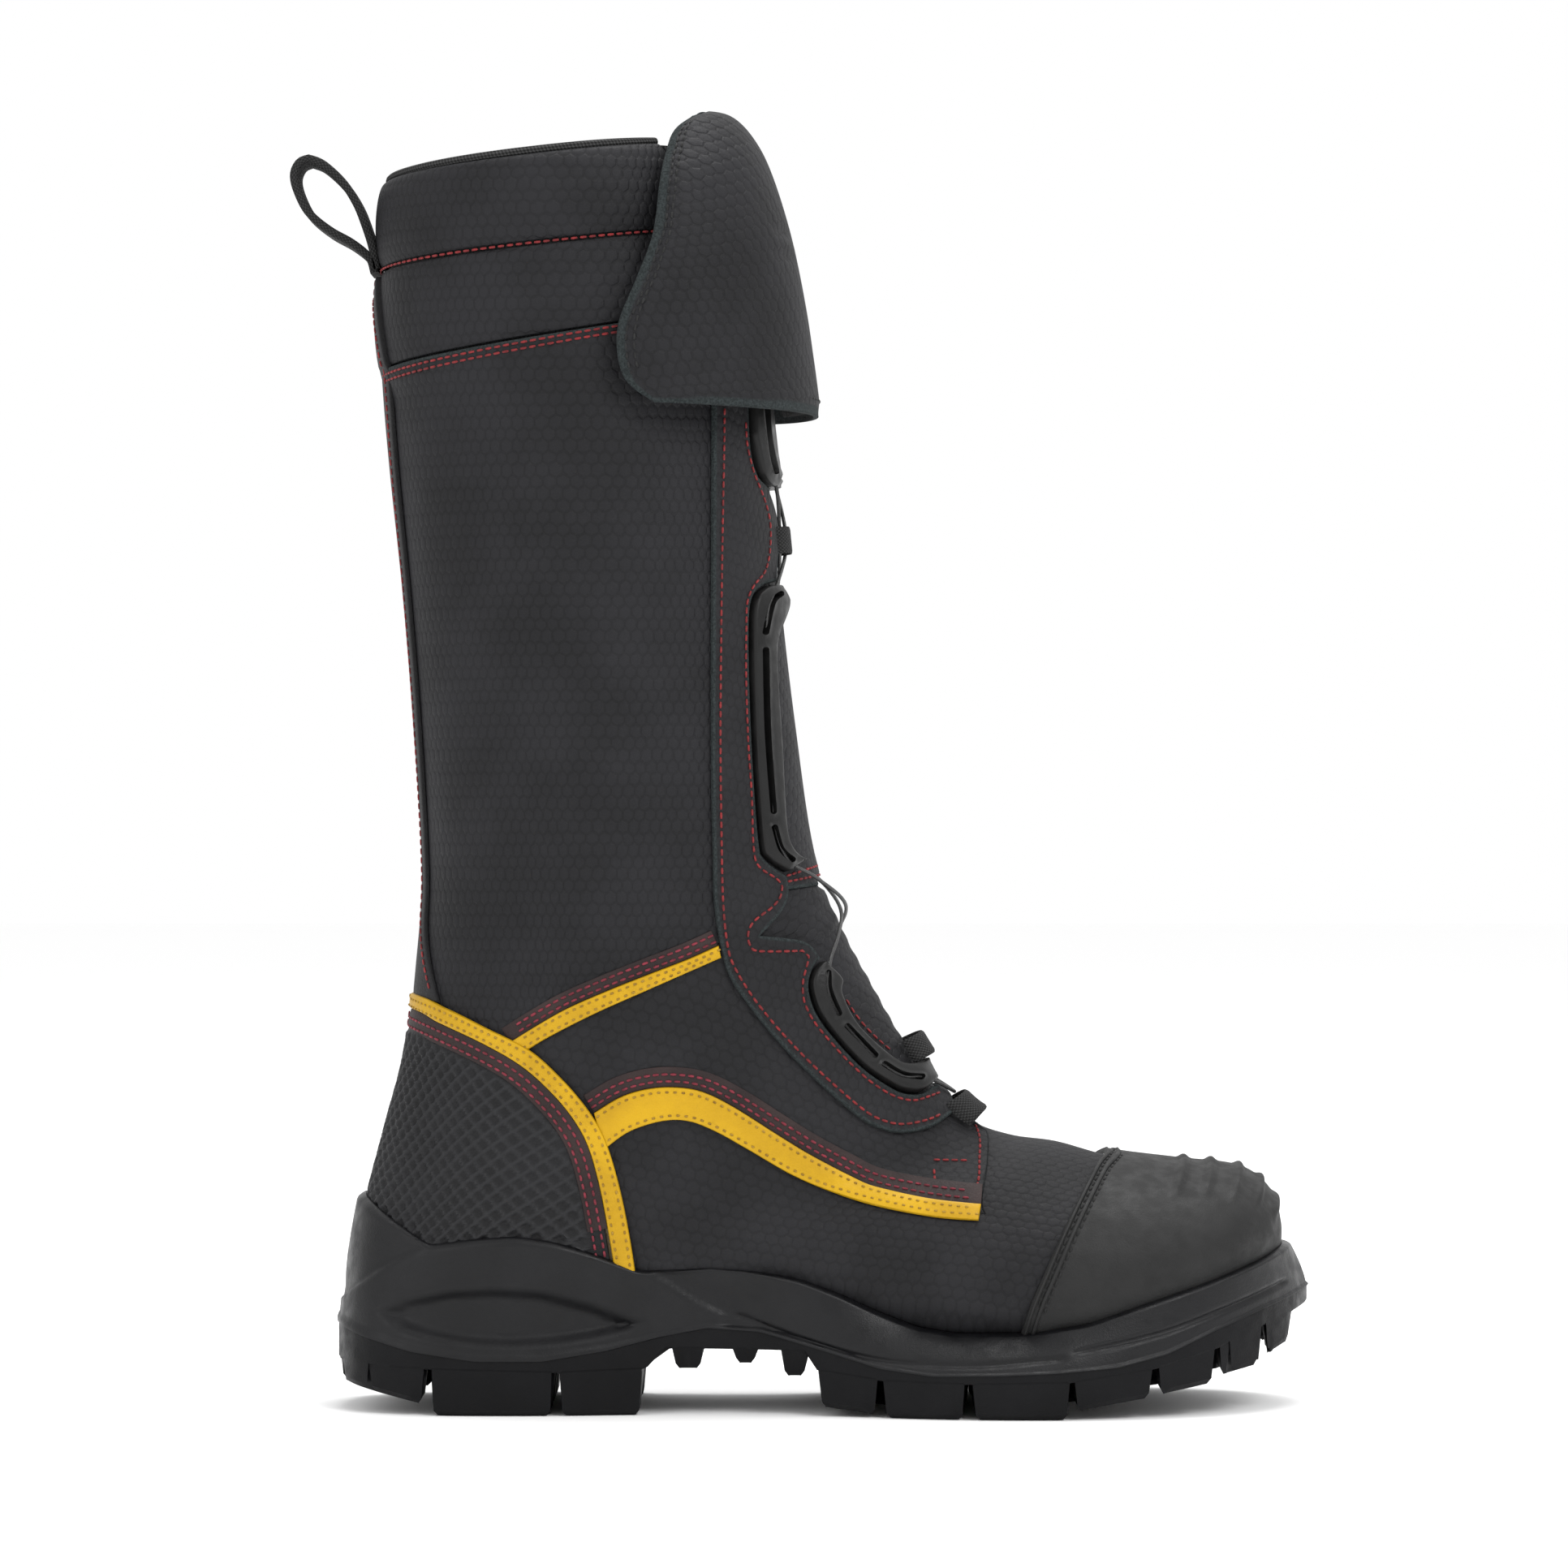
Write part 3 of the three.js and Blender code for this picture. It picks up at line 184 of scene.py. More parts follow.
VAMP_ROWS = [
    [(198.1, 95.6), (203.7, 91.3), (206, 86.2), (205.7, 79.6), (205.2, 74), (203.2, 68.3)],
    [(191, 79.6), (205, 79.2)],
    [(191.4, 71.6), (191, 79.6)],
]
# Stitches of each kind: pitch, length, half width, height.
STITCH_SIZES = {
    "red": (2.9, 2.25, 0.42, 0.34),
    "maroon": (2.8, 2.1, 0.42, 0.34),
    "tan": (2.6, 1.2, 0.36, 0.26),
    "guard": (3.0, 2.3, 0.4, 0.34),
    "flap": (2.9, 2.2, 0.4, 0.34),
}
STITCH_SIDES = 6
# Places along a stitch, as shares of its length from its middle: one end, three rings, the other end.
STITCH_STATIONS = np.array([-0.5, -0.4, 0.0, 0.4, 0.5])
STITCH_RINGS = np.array([0.8, 1.0, 0.8])
STITCH_SINK = 0.3
TOE_GUARD_REAR = [(254, 94), (248.6, 81.4), (242.4, 75.8), (233, 60.7), (225.4, 45.6), (219.8, 32.4),
                  (216.6, 20)]
TONGUE_SHIN = [(104.5, 403), (114.5, 375), (119, 349.5), (124.5, 320), (127, 295), (127.5, 215), (127.5, 165),
               (127.5, 163), (141, 165), (157, 167), (180, 170)]
TONGUE_ANKLE = [(180, 170), (157, 167), (141, 165), (127.5, 163), (129, 152), *THROAT, (204, 102), (211, 110)]

SOLE_OUTLINE = [(0, 0), (1.5, -15), (6.5, -27.5), (16, -36), (31, -41.5), (52, -43.5), (76, -42.6),
                (102, -39.6), (131, -40), (160, -45.5), (188, -53.5), (214, -57.5), (240, -56.4),
                (262, -50.5), (280, -41), (295, -28), (306, -12), (312, 4), (313, 12), (311, 24), (304, 37),
                (292, 47.5), (276, 54.6), (256, 58), (232, 57.5), (208, 53), (184, 46), (160, 40.5),
                (131, 38.2), (102, 39), (76, 42.2), (52, 43.5), (31, 41.5), (16, 36), (6.5, 27.5), (1.5, 15)]
PARTING_LINE = [(-5, 29.2), (9.1, 24.5), (25.7, 20), (46.4, 17.1), (67.2, 17.1), (87.9, 20.4), (104.5, 24.6),
                (119.3, 27.4), (135.9, 26.3), (156.7, 20.4), (173.3, 15.5), (189.9, 13.4), (210, 13.8),
                (228.7, 14.6), (248.1, 16.2), (264, 20), (280, 26.8), (295.3, 32.4), (318, 39)]
SOLE_TOP_LINE = [(-5, 70), (7.7, 67.8), (13.3, 64), (21.6, 58.9), (31.5, 53), (46.4, 55.2), (58.9, 56.1),
                 (71.3, 54.4), (83.8, 50.7), (98.7, 44.9), (119.3, 46.4), (131.8, 45.4), (148.4, 42.4),
                 (160.9, 37.8), (173.3, 32.1), (185.8, 27.4), (198.1, 25.6), (218.9, 26), (238.7, 28.9),
                 (257.6, 35.2), (276.4, 40.9), (295.3, 47.4), (305.2, 51.3), (318, 53)]
HEEL_LEAF = [(14, 32.4), (24, 37), (38.1, 39.8), (52, 40.6), (67.2, 39.8), (84, 35.4), (99.5, 29.1),
             (96.1, 26.2), (84, 23.4), (71.3, 21.6), (58, 20.8), (46.4, 21.2), (33, 23), (21.6, 26)]
WING_CREASE = [(5, 37), (14, 43.6), (24, 49.6), (33, 53.5)]
WING_END = [(97, 46.5), (106, 41), (116, 34.4), (124, 30.5)]
SOLE_GROOVES = [[(129.3, 31.2), (151, 23.6), (173.3, 18.1), (201.5, 16.7), (230, 19)],
                [(236, 21), (262, 26.6), (282, 33), (302.8, 40)]]
FLOOR_LINE = [(-5, 16), (31, 14.5), (72, 13.5), (100, 14.5), (106, 21), (150, 20.5), (154, 14.5), (174, 11.6),
              (201, 11), (233, 11.6), (260, 15.5), (280, 21), (298, 28), (318, 34)]
# Where the sidewall's inner face stands: covering over the skin at the toe guard and the counter.
TOE_COVERING = 2.3
COUNTER_COVERING = 1.6
SIDEWALL_THICKNESS = 2.2
SIDEWALL_REACH = 16.0
SIDEWALL_INSET = (0.6, 14)
SIDEWALL_ROWS = 44
# The sidewall's top lip, from its outer edge inwards: distance in, rise.
SIDEWALL_LIP = ((1.1, 0.35), (1.9, 0.2), (2.9, -0.8), (3.6, -5.0))
LEAF_DEPTH = 3.4
WING_CREASE_DEPTH = 1.8
WING_END_DEPTH = 1.5
GROOVE_DEPTH = 1.0
# Lugs along both edges: first x, last x, bottom height at each.
EDGE_LUGS = [(2.5, 29.3, 9.5, 3.5), (33.2, 70, 0, 0), (73.8, 98, 0, 0), (155.5, 172.1, 3, 1),
             (175.8, 199.4, 0, 0), (203.6, 232, 0, 0), (235.4, 258, 2.7, 6.5), (261.8, 278.2, 7.4, 10.2),
             (281.5, 294, 12.6, 15), (297.2, 305.4, 18, 21.5)]
LUG_CHAMFER = 1.6
EDGE_LUG_GAP = 1.5
ARCH_BAR_GAP = 1.6
ARCH_START = 100
ARCH_BARS = [(109.4, 117.3, 14.6), (128.5, 134.4, 16.3), (143.8, 150.1, 12.5)]
MIDDLE_LUGS = [(14, 28, 6.5, 3.6), (35, 51, 0, 0), (54.6, 70, 0, 0), (75.5, 96, 0, 0), (160, 178, 2.4, 0),
               (182, 202, 0, 0), (206, 227, 0, 0), (231, 250, 0.8, 4.2), (254, 271, 5.3, 9),
               (275, 289, 9.8, 13.8)]

# Sections of the folded flap: front x, front z, side edge x, side edge z, half width.
FLAP_ROWS = np.array([
    [119.4, 412.4, 116.5, 410.6, 30],
    [127.5, 410, 109, 404.5, 39],
    [134, 402.5, 106.2, 396, 47],
    [139, 391.5, 104.6, 387, 53],
    [144.6, 373, 102.6, 371, 57],
    [149, 352, 97.6, 357, 59],
    [151.6, 335, 91.6, 341, 60],
    [153.2, 323, 93.5, 326, 59.5],
    [154, 316.5, 103, 318, 58.5],
])
FLAP_LAST = len(FLAP_ROWS) - 1
FLAP_FULLNESS = 2.2
FLAP_THICKNESS = 2.1
FLAP_LENGTH = 108.0
FLAP_BREADTH = 190.0
FLAP_STITCH_GAPS = (3.4, 5.2)
# Creases across the flap's front: height, slope, rise, reach.
FLAP_CREASES = [(373.5, -0.35, -1.3, 5.5), (366.5, 0.2, -1.0, 4.5), (369.8, 0.0, 0.7, 4.0)]
FLAP_HINGE = (117.5, 411.4)
FOLD_HALF_WIDTH = 27.5
FOLD_THICKNESS = 1.9
HOOK_TAPE_THICKNESS = 1.2

LOOP_PATH = [(12.6, 362.4), (11.0, 367.2), (5.6, 371.8), (-1.6, 375.9), (-8.2, 381.4), (-11.8, 388),
             (-13.1, 393.6), (-11.4, 397.6), (-8.4, 398.9), (-3.7, 397), (2.6, 391.2), (7, 384.4),
             (9.8, 377.4), (12.0, 370.4), (13.2, 363.6)]
LOOP_HALF_WIDTH = 10.8
LOOP_HALF_THICKNESS = 1.3

# Wire lace: x and z from the side, side (1 lateral, -1 medial, 0 middle), lift above the skin.
WIRE_DOWN = [
    (133.5, 322, 1, 3), (134.6, 312, 1, 3), (135.9, 302, 1, 3), (138.3, 293, 1, 3),
    (140.3, 277, 0, 1.7),
    (138.6, 262, -1, 3), (136, 254, -1, 3), (135.6, 242, -1, 3), (136.2, 226, -1, 3),
    (137, 210, -1, 3), (138, 195, -1, 3), (139, 184, -1, 3), (142.4, 175, -1, 3),
    (151.5, 168.5, -1, 2.6), (159.5, 158.6, 0, 1.9),
    (158.6, 150, 1, 2.8), (156.2, 142, 1, 3), (155.6, 134, 1, 3), (159, 125.5, 1, 3), (165.2, 117.5, 1, 3),
    (172.4, 110, 1, 3), (179.6, 105, 1, 3), (186.5, 104, 1, 3),
]
WIRE_CROSSOVER_LIFT = 3.9
WIRE_TOE = (196, 98, 0, 3.2)
WIRE_RADIUS = 0.6
DIAL_LEVEL = 2.05
DIAL_COLUMNS = 160
DIAL_RIBS = 20
DIAL_RIB_DEPTH = 0.7
DIAL_RIB_FROM = 15.3
# Profiles of the dial's pieces, as radius and height above the tongue.
DIAL_BASE = [(0.6, 0.45), (19.2, 0.45), (19.8, 0.7), (19.9, 1.3), (19.3, 1.75), (16.4, 2.2), (15.6, 2.6),
             (15.5, 4.7), (15.2, 5.0), (12.9, 5.0), (12.6, 4.7), (12.6, 2.5), (3.4, 2.4), (3.3, 2.05),
             (0.6, 2.05)]
DIAL_KNOB = [(12.8, 6.45), (15.5, 6.45), (15.9, 6.7), (16.0, 7.2), (16.0, 8.4), (15.6, 9.0), (14.4, 9.5),
             (11.2, 9.6), (10.6, 9.2), (6.4, 9.1), (5.6, 9.5), (3.1, 9.6), (3.0, 9.4), (3.0, 8.2), (3.2, 8.0),
             (12.5, 8.0), (12.7, 7.8)]
# Webbing keepers: section, half length in sections, half width as an angle, rise over the wire, thickness.
KEEPERS = {
    "keeper_shin": (3.7, 0.085, 0.17, 4.3, 0.8),
    "keeper_throat_rear": (9.4, 0.24, 0.24, 4.6, 1.4),
    "keeper_throat_front": (10.9, 0.33, 0.27, 4.6, 1.4),
}

# Toe guard: welts beside its rear edge as distances from it, stitch channels between, ribs by section.
GUARD_WELTS = ((0.4, 1.5), (2.6, 3.9))
GUARD_CHANNELS = (2.05, 4.5)
TOE_RIBS = ((15.1, 0.11), (15.52, 0.11), (16.0, 0.13), (16.55, 0.17), (17.25, 0.24))
TOE_RIB_HEIGHT = 1.3

# Ropes on the heel counter.
DIAMOND_PITCH = 4.3
DIAMOND_HEIGHT = 0.75
DIAMOND_SLOPES = (0.62, -0.95)
BOTH_SIDES = {"lateral": 1, "medial": -1}
# The view: its middle seen from the side, its width and distance in metres from the boot's near face.
VIEW_CENTRE = (143.6, 198.9)
VIEW_WIDTH = 0.4927
VIEW_DISTANCE = 2.0
FACE_DEPTH = 0.045
# Millimetres for one section and for one radian, to lay an outline out nearly flat.
PLANE_SCALE = np.array([27.0, 50.0])
# Places near a sheet's border that get their own row of points.
BORDER_STEPS = np.array([0, 0.35, 0.9, 1.6, 2.4, 3.0])


# ---------------------------------------------------------------- Lines
def cubic(before, start, end, after, part):
    slope_start = (end - before) / 2
    slope_end = (after - start) / 2
    rise = end - start
    bend = slope_start + slope_end - 2 * rise
    return ((bend * part + 3 * rise - 2 * slope_start - slope_end) * part + slope_start) * part + start


def read_table(table, place):
    """Rows of a table at places between its rows, on a smooth curve through them."""
    last = len(table) - 1
    place = np.clip(np.asarray(place, float), 0, last)
    index = np.clip(np.floor(place).astype(int), 0, last - 1)
    part = (place - index)[..., None]
    rows = [table[np.clip(index + k, 0, last)] for k in (-1, 0, 1, 2)]
    return cubic(*rows, part)


def lengths_along(points):
    """Length of a path up to each of its points."""
    return np.concatenate([[0], np.cumsum(np.linalg.norm(np.diff(points, axis=0), axis=1))])


def values_at(places, lengths, values):
    """Rows of values at places between the lengths where they are known."""
    return np.stack([np.interp(places, lengths, column) for column in values.T], axis=1)


def evenly(points, count):
    """The same path with evenly spaced points."""
    lengths = lengths_along(points)
    return values_at(np.linspace(0, lengths[-1], count), lengths, points)


def rounded(line, step, closed=False, corner=44):
    """Points along a line, on a smooth curve through its points that stays sharp at its corners."""
    points = np.array(line, float)
    if closed:
        points = np.vstack([points, points[:1]])
    last = len(points) - 1
    heading = np.diff(points, axis=0)
    angles = np.arctan2(heading[:, 1], heading[:, 0])
    turns = np.abs((np.diff(angles) + PI) % (2 * PI) - PI)
    stops = [0] + [k + 1 for k, turn in enumerate(turns) if turn > math.radians(corner)] + [last]
    smooth_end = closed and abs((angles[0] - angles[-1] + PI) % (2 * PI) - PI) < math.radians(corner)
    if smooth_end and len(stops) == 2:
        loop = np.vstack([points[-2], points, points[1]])
        places = np.linspace(0, last, last * 12 + 1)
        index = np.minimum(places.astype(int), last - 1)
        part = (places - index)[:, None]
        dense = cubic(loop[index], loop[index + 1], loop[index + 2], loop[index + 3], part)
        count = max(int(lengths_along(dense)[-1] / step), 8)
        return evenly(dense, count + 1)[:-1]
    pieces = []
    for start, end in zip(stops[:-1], stops[1:]):
        run = points[start:end + 1]
        places = np.linspace(0, len(run) - 1, (len(run) - 1) * 12 + 1)
        dense = read_table(run, places)
        count = max(int(round(lengths_along(dense)[-1] / step)), 1)
        pieces.append(evenly(dense, count + 1)[:-1])
    if not closed:
        pieces.append(points[-1:])
    return np.vstack(pieces)


def line_distance(points, line, closed=False):
    """Distance from each point to a line, in the plane."""
    line = np.array(line, float)
    if closed:
        line = np.vstack([line, line[:1]])
    starts = line[:-1]
    runs = line[1:] - starts
    offsets = points[:, None] - starts
    parts = np.clip((offsets * runs).sum(-1) / np.maximum((runs * runs).sum(-1), 1e-12), 0, 1)
    return np.linalg.norm(offsets - parts[..., None] * runs, axis=-1).min(axis=1)


def contains(points, loop):
    """Which points lie inside a closed line."""
    loop = np.array(loop, float)
    after = np.roll(loop, -1, axis=0)
    x, y = points[:, :1], points[:, 1:2]
    crosses = (loop[:, 1] > y) != (after[:, 1] > y)
    rise = np.where(after[:, 1] == loop[:, 1], 1e-12, after[:, 1] - loop[:, 1])
    at = loop[:, 0] + (y - loop[:, 1]) / rise * (after[:, 0] - loop[:, 0])
    return (crosses & (x < at)).sum(axis=1) % 2 == 1


def smoothstep(low, high, value):
    part = np.clip((value - low) / (high - low), 0, 1)
    return part * part * (3 - 2 * part)


def offset_line(line, distance, closed=False):
    """A line moved to its left by a distance."""
    points = np.array(line, float)
    ahead = np.roll(points, -1, axis=0)
    behind = np.roll(points, 1, axis=0)
    if not closed:
        ahead[-1] = points[-1]
        behind[0] = points[0]
    along = unit(ahead - behind)
    return points + np.stack([-along[:, 1], along[:, 0]], axis=1) * distance


def unit(vectors):
    return vectors / np.maximum(np.linalg.norm(vectors, axis=-1, keepdims=True), 1e-12)


# ---------------------------------------------------------------- Skin
def skin(section, angle):
    """Points of the nominal skin: angle 0 is the front, pi the back, the lateral side in between."""
    table = read_table(SECTIONS, section)
    front_x, front_z, back_x, back_z, half_width, fullness, lowness, shift = np.moveaxis(table, -1, 0)
    share = (1 - np.cos(angle)) / 2
    reach = np.abs(2 * share ** lowness - 1) ** fullness
    out = half_width * np.maximum(1 - reach, 0) ** (1 / fullness)
    side = np.where(np.sin(angle) >= 0, -1.0, 1.0)
    return np.stack([front_x + (back_x - front_x) * share, shift + side * out,
                     front_z + (back_z - front_z) * share], axis=-1)


def skin_frame(section, angle):
    """The skin's point, its two slopes and its outward normal."""
    step = 0.02
    section = np.asarray(section, float)
    angle = np.asarray(angle, float)
    above = np.clip(section - step, 0, TOE_TIP)
    below = np.clip(section + step, 0, TOE_TIP)
    down = (skin(below, angle) - skin(above, angle)) / (below - above)[..., None]
    around = (skin(section, angle + step) - skin(section, angle - step)) / (2 * step)
    normal = unit(np.cross(around, down))
    return skin(section, angle), down, around, normal


def lifted(section, angle, lift):
    point, _, _, normal = skin_frame(section, angle)
    return point + normal * np.asarray(lift, float)[..., None]


def share_back(points, section):
    """How far back points lie along a section: 0 at its front end and 1 at its back end."""
    front_x, front_z, back_x, back_z = read_table(SECTIONS, section)[:, :4].T
    run = (back_x - front_x) ** 2 + (back_z - front_z) ** 2
    ahead = (points[:, 0] - front_x) * (back_x - front_x) + (points[:, 1] - front_z) * (back_z - front_z)
    return ahead / run


def place_on_skin(points):
    """Section and angle (0 to pi) of points seen from the side."""
    points = np.asarray(points, float)
    low = np.zeros(len(points))
    high = np.full(len(points), float(TOE_END))
    for _ in range(34):
        middle = (low + high) / 2
        front_x, front_z, back_x, back_z = read_table(SECTIONS, middle)[:, :4].T
        rise = (back_x - front_x) * (points[:, 1] - front_z) - (back_z - front_z) * (points[:, 0] - front_x)
        high = np.where(rise < 0, middle, high)
        low = np.where(rise < 0, low, middle)
    return np.stack([low, np.arccos(1 - 2 * np.clip(share_back(points, low), 0, 1))], axis=1)


def on_side(line, side, step=1.8):
    """A closed outline on one side of the boot, as section and angle."""
    domain = place_on_skin(rounded(line, step, closed=True))
    domain[:, 1] *= side
    return domain


def mirrored(half):
    """A half outline on the skin, closed over the front by its mirror image."""
    return np.vstack([half, half[::-1] * [1, -1]])


def front_half(line, step=1.8):
    """A half outline that starts and ends on the front line."""
    half = place_on_skin(rounded(line, step))
    return half[half[:, 1] > 1e-4]


def across_front(line, step=1.8):
    return mirrored(front_half(line, step))


def across_back(line):
    """A half outline that starts and ends on the back line, closed by its mirror image."""
    half = place_on_skin(rounded(line, 1.8))
    half = half[half[:, 1] < PI - 1e-4]
    return np.vstack([half, half[::-1] * [1, -1] + [0, 2 * PI]])


# ---------------------------------------------------------------- Objects
def grid_faces(rows, columns, wrap=False, start=0):
    """Quads of a grid of points; a wrapped grid joins its last column to its first."""
    r, c = np.meshgrid(np.arange(rows - 1), np.arange(columns if wrap else columns - 1), indexing="ij")
    here = r * columns + c
    after = r * columns + (c + 1) % columns
    quads = np.stack([here, after, after + columns, here + columns], axis=-1)
    return (quads.reshape(-1, 4) + start).tolist()


def sheet_faces(rows, columns):
    """Faces of a closed sheet: an outer and an inner grid of points, joined round their rim."""
    count = rows * columns
    ids = np.arange(count).reshape(rows, columns)
    rim = np.concatenate([ids[0, :-1], ids[:-1, -1], ids[-1, :0:-1], ids[:0:-1, 0]])
    after = np.roll(rim, -1)
    faces = grid_faces(rows, columns) + [face[::-1] for face in grid_faces(rows, columns, start=count)]
    return faces + np.stack([after, rim, rim + count, after + count], axis=1).tolist()


def signed_volume(points, faces):
    """Six times the volume inside some triangles and quads, below zero when they face inwards."""
    triangles = [face[:3] for face in faces] + [[face[0], *face[2:]] for face in faces if len(face) == 4]
    first, second, third = points[np.array(triangles)].transpose(1, 0, 2)
    return np.einsum("ij,ij->", first, np.cross(second, third))


def make(name, points, faces, material, body, slot, replaces=(), sharp=38, **attributes):
    """A closed object from points in millimetres, with its faces turned outwards."""
    points = np.asarray(points, float)
    if signed_volume(points - points.mean(axis=0), faces) < 0:
        faces = [face[::-1] for face in faces]
    mesh = bpy.data.meshes.new(name)
    mesh.from_pydata((points * MM + [HEEL_X, 0, 0]).tolist(), [], faces)
    for key, values in attributes.items():
        values = np.asarray(values, np.float32)
        if values.ndim == 2:
            flat = np.zeros((len(values), 3), np.float32)
            flat[:, :values.shape[1]] = values
            mesh.attributes.new(key, "FLOAT_VECTOR", "POINT").data.foreach_set("vector", flat.ravel())
        else:
            mesh.attributes.new(key, "FLOAT", "POINT").data.foreach_set("value", values)
    mesh.validate()
    mesh.shade_smooth()
    mesh.set_sharp_from_angle(angle=math.radians(sharp))
    piece = bpy.data.objects.new(name, mesh)
    bpy.context.scene.collection.objects.link(piece)
    mesh.materials.append(material)
    if body is not None:
        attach(piece, body)
    if replaces:
        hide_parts(*replaces)
    return piece


def pattern_place(points, mode):
    """Flat coordinates in millimetres over the leather, for its embossed pattern."""
    x, y, z = points[:, 0], points[:, 1], points[:, 2]
    if mode == "shaft":
        middle = 84.0
        turned = np.sign(x - middle) * (52 - np.abs(y)) * smoothstep(0, 26, np.abs(x - middle))
        return np.stack([x + turned, z], axis=1)
    if mode == "foot":
        return np.stack([x, z + (45 - np.abs(y))], axis=1)
    if mode == "front":
        return np.stack([np.sign(y) * (np.abs(y) + 0.6 * (140 - x).clip(0, 30)), z - 0.7 * x], axis=1)
    return np.stack([y, z], axis=1)


def inset(domain, distance):
    """A closed outline moved inwards by a distance measured on the skin."""
    _, down, around, normal = skin_frame(domain[:, 0], domain[:, 1])
    points = skin(domain[:, 0], domain[:, 1])
    along = unit(np.roll(points, -1, axis=0) - np.roll(points, 1, axis=0))
    inward = np.cross(normal, along) * distance
    dd, da, aa = (down * down).sum(1), (down * around).sum(1), (around * around).sum(1)
    di, ai = (down * inward).sum(1), (around * inward).sum(1)
    spread = np.maximum(dd * aa - da * da, 1e-6)
    move = np.stack([(di * aa - ai * da) / spread, (ai * dd - di * da) / spread], axis=1)
    move = np.clip(move, -0.12, 0.12)
    return min((domain + move, domain - move), key=lambda loop: abs(loop_area(loop)))


def loop_area(loop):
    after = np.roll(loop, -1, axis=0)
    return ((loop[:, 0] * after[:, 1] - after[:, 0] * loop[:, 1]).sum()) / 2


def flat_mesh(loops, inner, spacing):
    """Triangles that fill the first of some closed loops, following them all, with an even grid between."""
    outline = loops[0]
    low, high = outline.min(axis=0), outline.max(axis=0)
    columns = np.arange(low[0] + spacing / 2, high[0], spacing)
    rows = np.arange(low[1] + spacing / 2, high[1], spacing * 0.87)
    grid = [(x + (spacing / 2 if k % 2 else 0), y) for k, y in enumerate(rows) for x in columns]
    grid = np.array(grid).reshape(-1, 2)
    grid = grid[contains(grid, outline)]
    grid = grid[line_distance(grid, outline, closed=True) > inner + spacing * 0.45]
    edges = []
    start = 0
    for number, loop in enumerate(loops):
        if number > 0:
            grid = grid[line_distance(grid, loop, closed=True) > spacing * 0.4]
        edges += [(start + k, start + (k + 1) % len(loop)) for k in range(len(loop))]
        start += len(loop)
    points = [Vector(point) for point in np.vstack([*loops, grid])]
    verts, _, faces, origins, _, _ = delaunay_2d_cdt(points, edges, [], 1, 1e-5, True)
    first = np.array([origin[0] if origin else -1 for origin in origins])
    flat = np.array([tuple(vert) for vert in verts])
    faces = np.array([list(face) for face in faces])
    return flat, faces[contains(flat[faces].mean(axis=1), outline)].tolist(), first


def two_faced(outer, inner, triangles):
    """A closed body between two faces that share one set of triangles."""
    count = len(outer)
    faces = [list(face) for face in triangles] + [[v + count for v in face[::-1]] for face in triangles]
    directed = {(face[k], face[(k + 1) % 3]) for face in triangles for k in range(3)}
    faces += [[b, a, a + count, b + count] for a, b in directed if (b, a) not in directed]
    return np.vstack([outer, inner]), faces


def panel(name, domain, lifts, material, slot, mode="shaft", spacing=3.0, rounding=0.5, border=0.0,
          height=None, loops=(), replaces=(), sharp=38):
    """A piece of sheet laid on the skin inside an outline, with rounded edges and real thickness."""
    distances = [0.35 * rounding, rounding] + ([border, border + 0.5] if border else [])
    rings = [domain] + [inset(domain, distance) for distance in distances]
    planes = [loop * PLANE_SCALE for loop in (*rings, *loops)]
    flat, triangles, first = flat_mesh(planes, distances[-1], spacing)
    on_rings = (first >= 0) & (first < len(rings) * len(domain))
    ring = np.where(on_rings, first // len(domain), len(rings))
    point, _, _, normal = skin_frame(*(flat / PLANE_SCALE).T)
    drop = np.select([ring == 0, ring == 1], [rounding, 0.3 * rounding], 0.0)
    relief = 0.0 if height is None else height(point)
    outer = point + normal * (lifts[1] + relief - drop)[:, None]
    points, faces = two_faced(outer, point + normal * lifts[0], triangles)
    raw = np.where(ring <= (3 if border else 0), 1.0, 0.0)
    attributes = {"pattern": np.tile(pattern_place(point, mode), (2, 1)),
                  "edge": np.concatenate([raw, np.ones(len(flat))])}
    if height is not None:
        attributes["raised"] = np.tile(relief, 2)
    return make(name, points, faces, material, "boot", slot, replaces, sharp, **attributes)


def swept(path, side, normal, section):
    """A strip or tube: a cross-section of (across, up) points carried along a path."""
    across, up = np.array(section, float).T
    rings = path[:, None] + side[:, None] * across[None, :, None] + normal[:, None] * up[None, :, None]
    pattern = np.stack(np.meshgrid(lengths_along(path), lengths_along(section), indexing="ij"), axis=-1)
    return capped(rings.reshape(-1, 3), len(path), len(section), pattern.reshape(-1, 2))


def capped(points, rows, columns, pattern):
    """Closes both ends of a stack of rings with fans."""
    faces = grid_faces(rows, columns, wrap=True)
    last = (rows - 1) * columns
    first_middle = points[:columns].mean(axis=0)
    last_middle = points[last:].mean(axis=0)
    count = len(points)
    points = np.vstack([points, first_middle, last_middle])
    pattern = np.vstack([pattern, pattern[0], pattern[last]])
    faces += [[count, (k + 1) % columns, k] for k in range(columns)]
    faces += [[count + 1, last + k, last + (k + 1) % columns] for k in range(columns)]
    return points, faces, pattern


def circle(radius, sides):
    turns = np.arange(sides) * 2 * PI / sides
    return np.stack([radius * np.cos(turns), radius * np.sin(turns)], axis=1)


def frames_along(path, up):
    """Side and normal directions along a path, kept square to it."""
    along = unit(np.gradient(path, axis=0))
    side = unit(np.cross(along, up))
    return side, unit(np.cross(side, along))


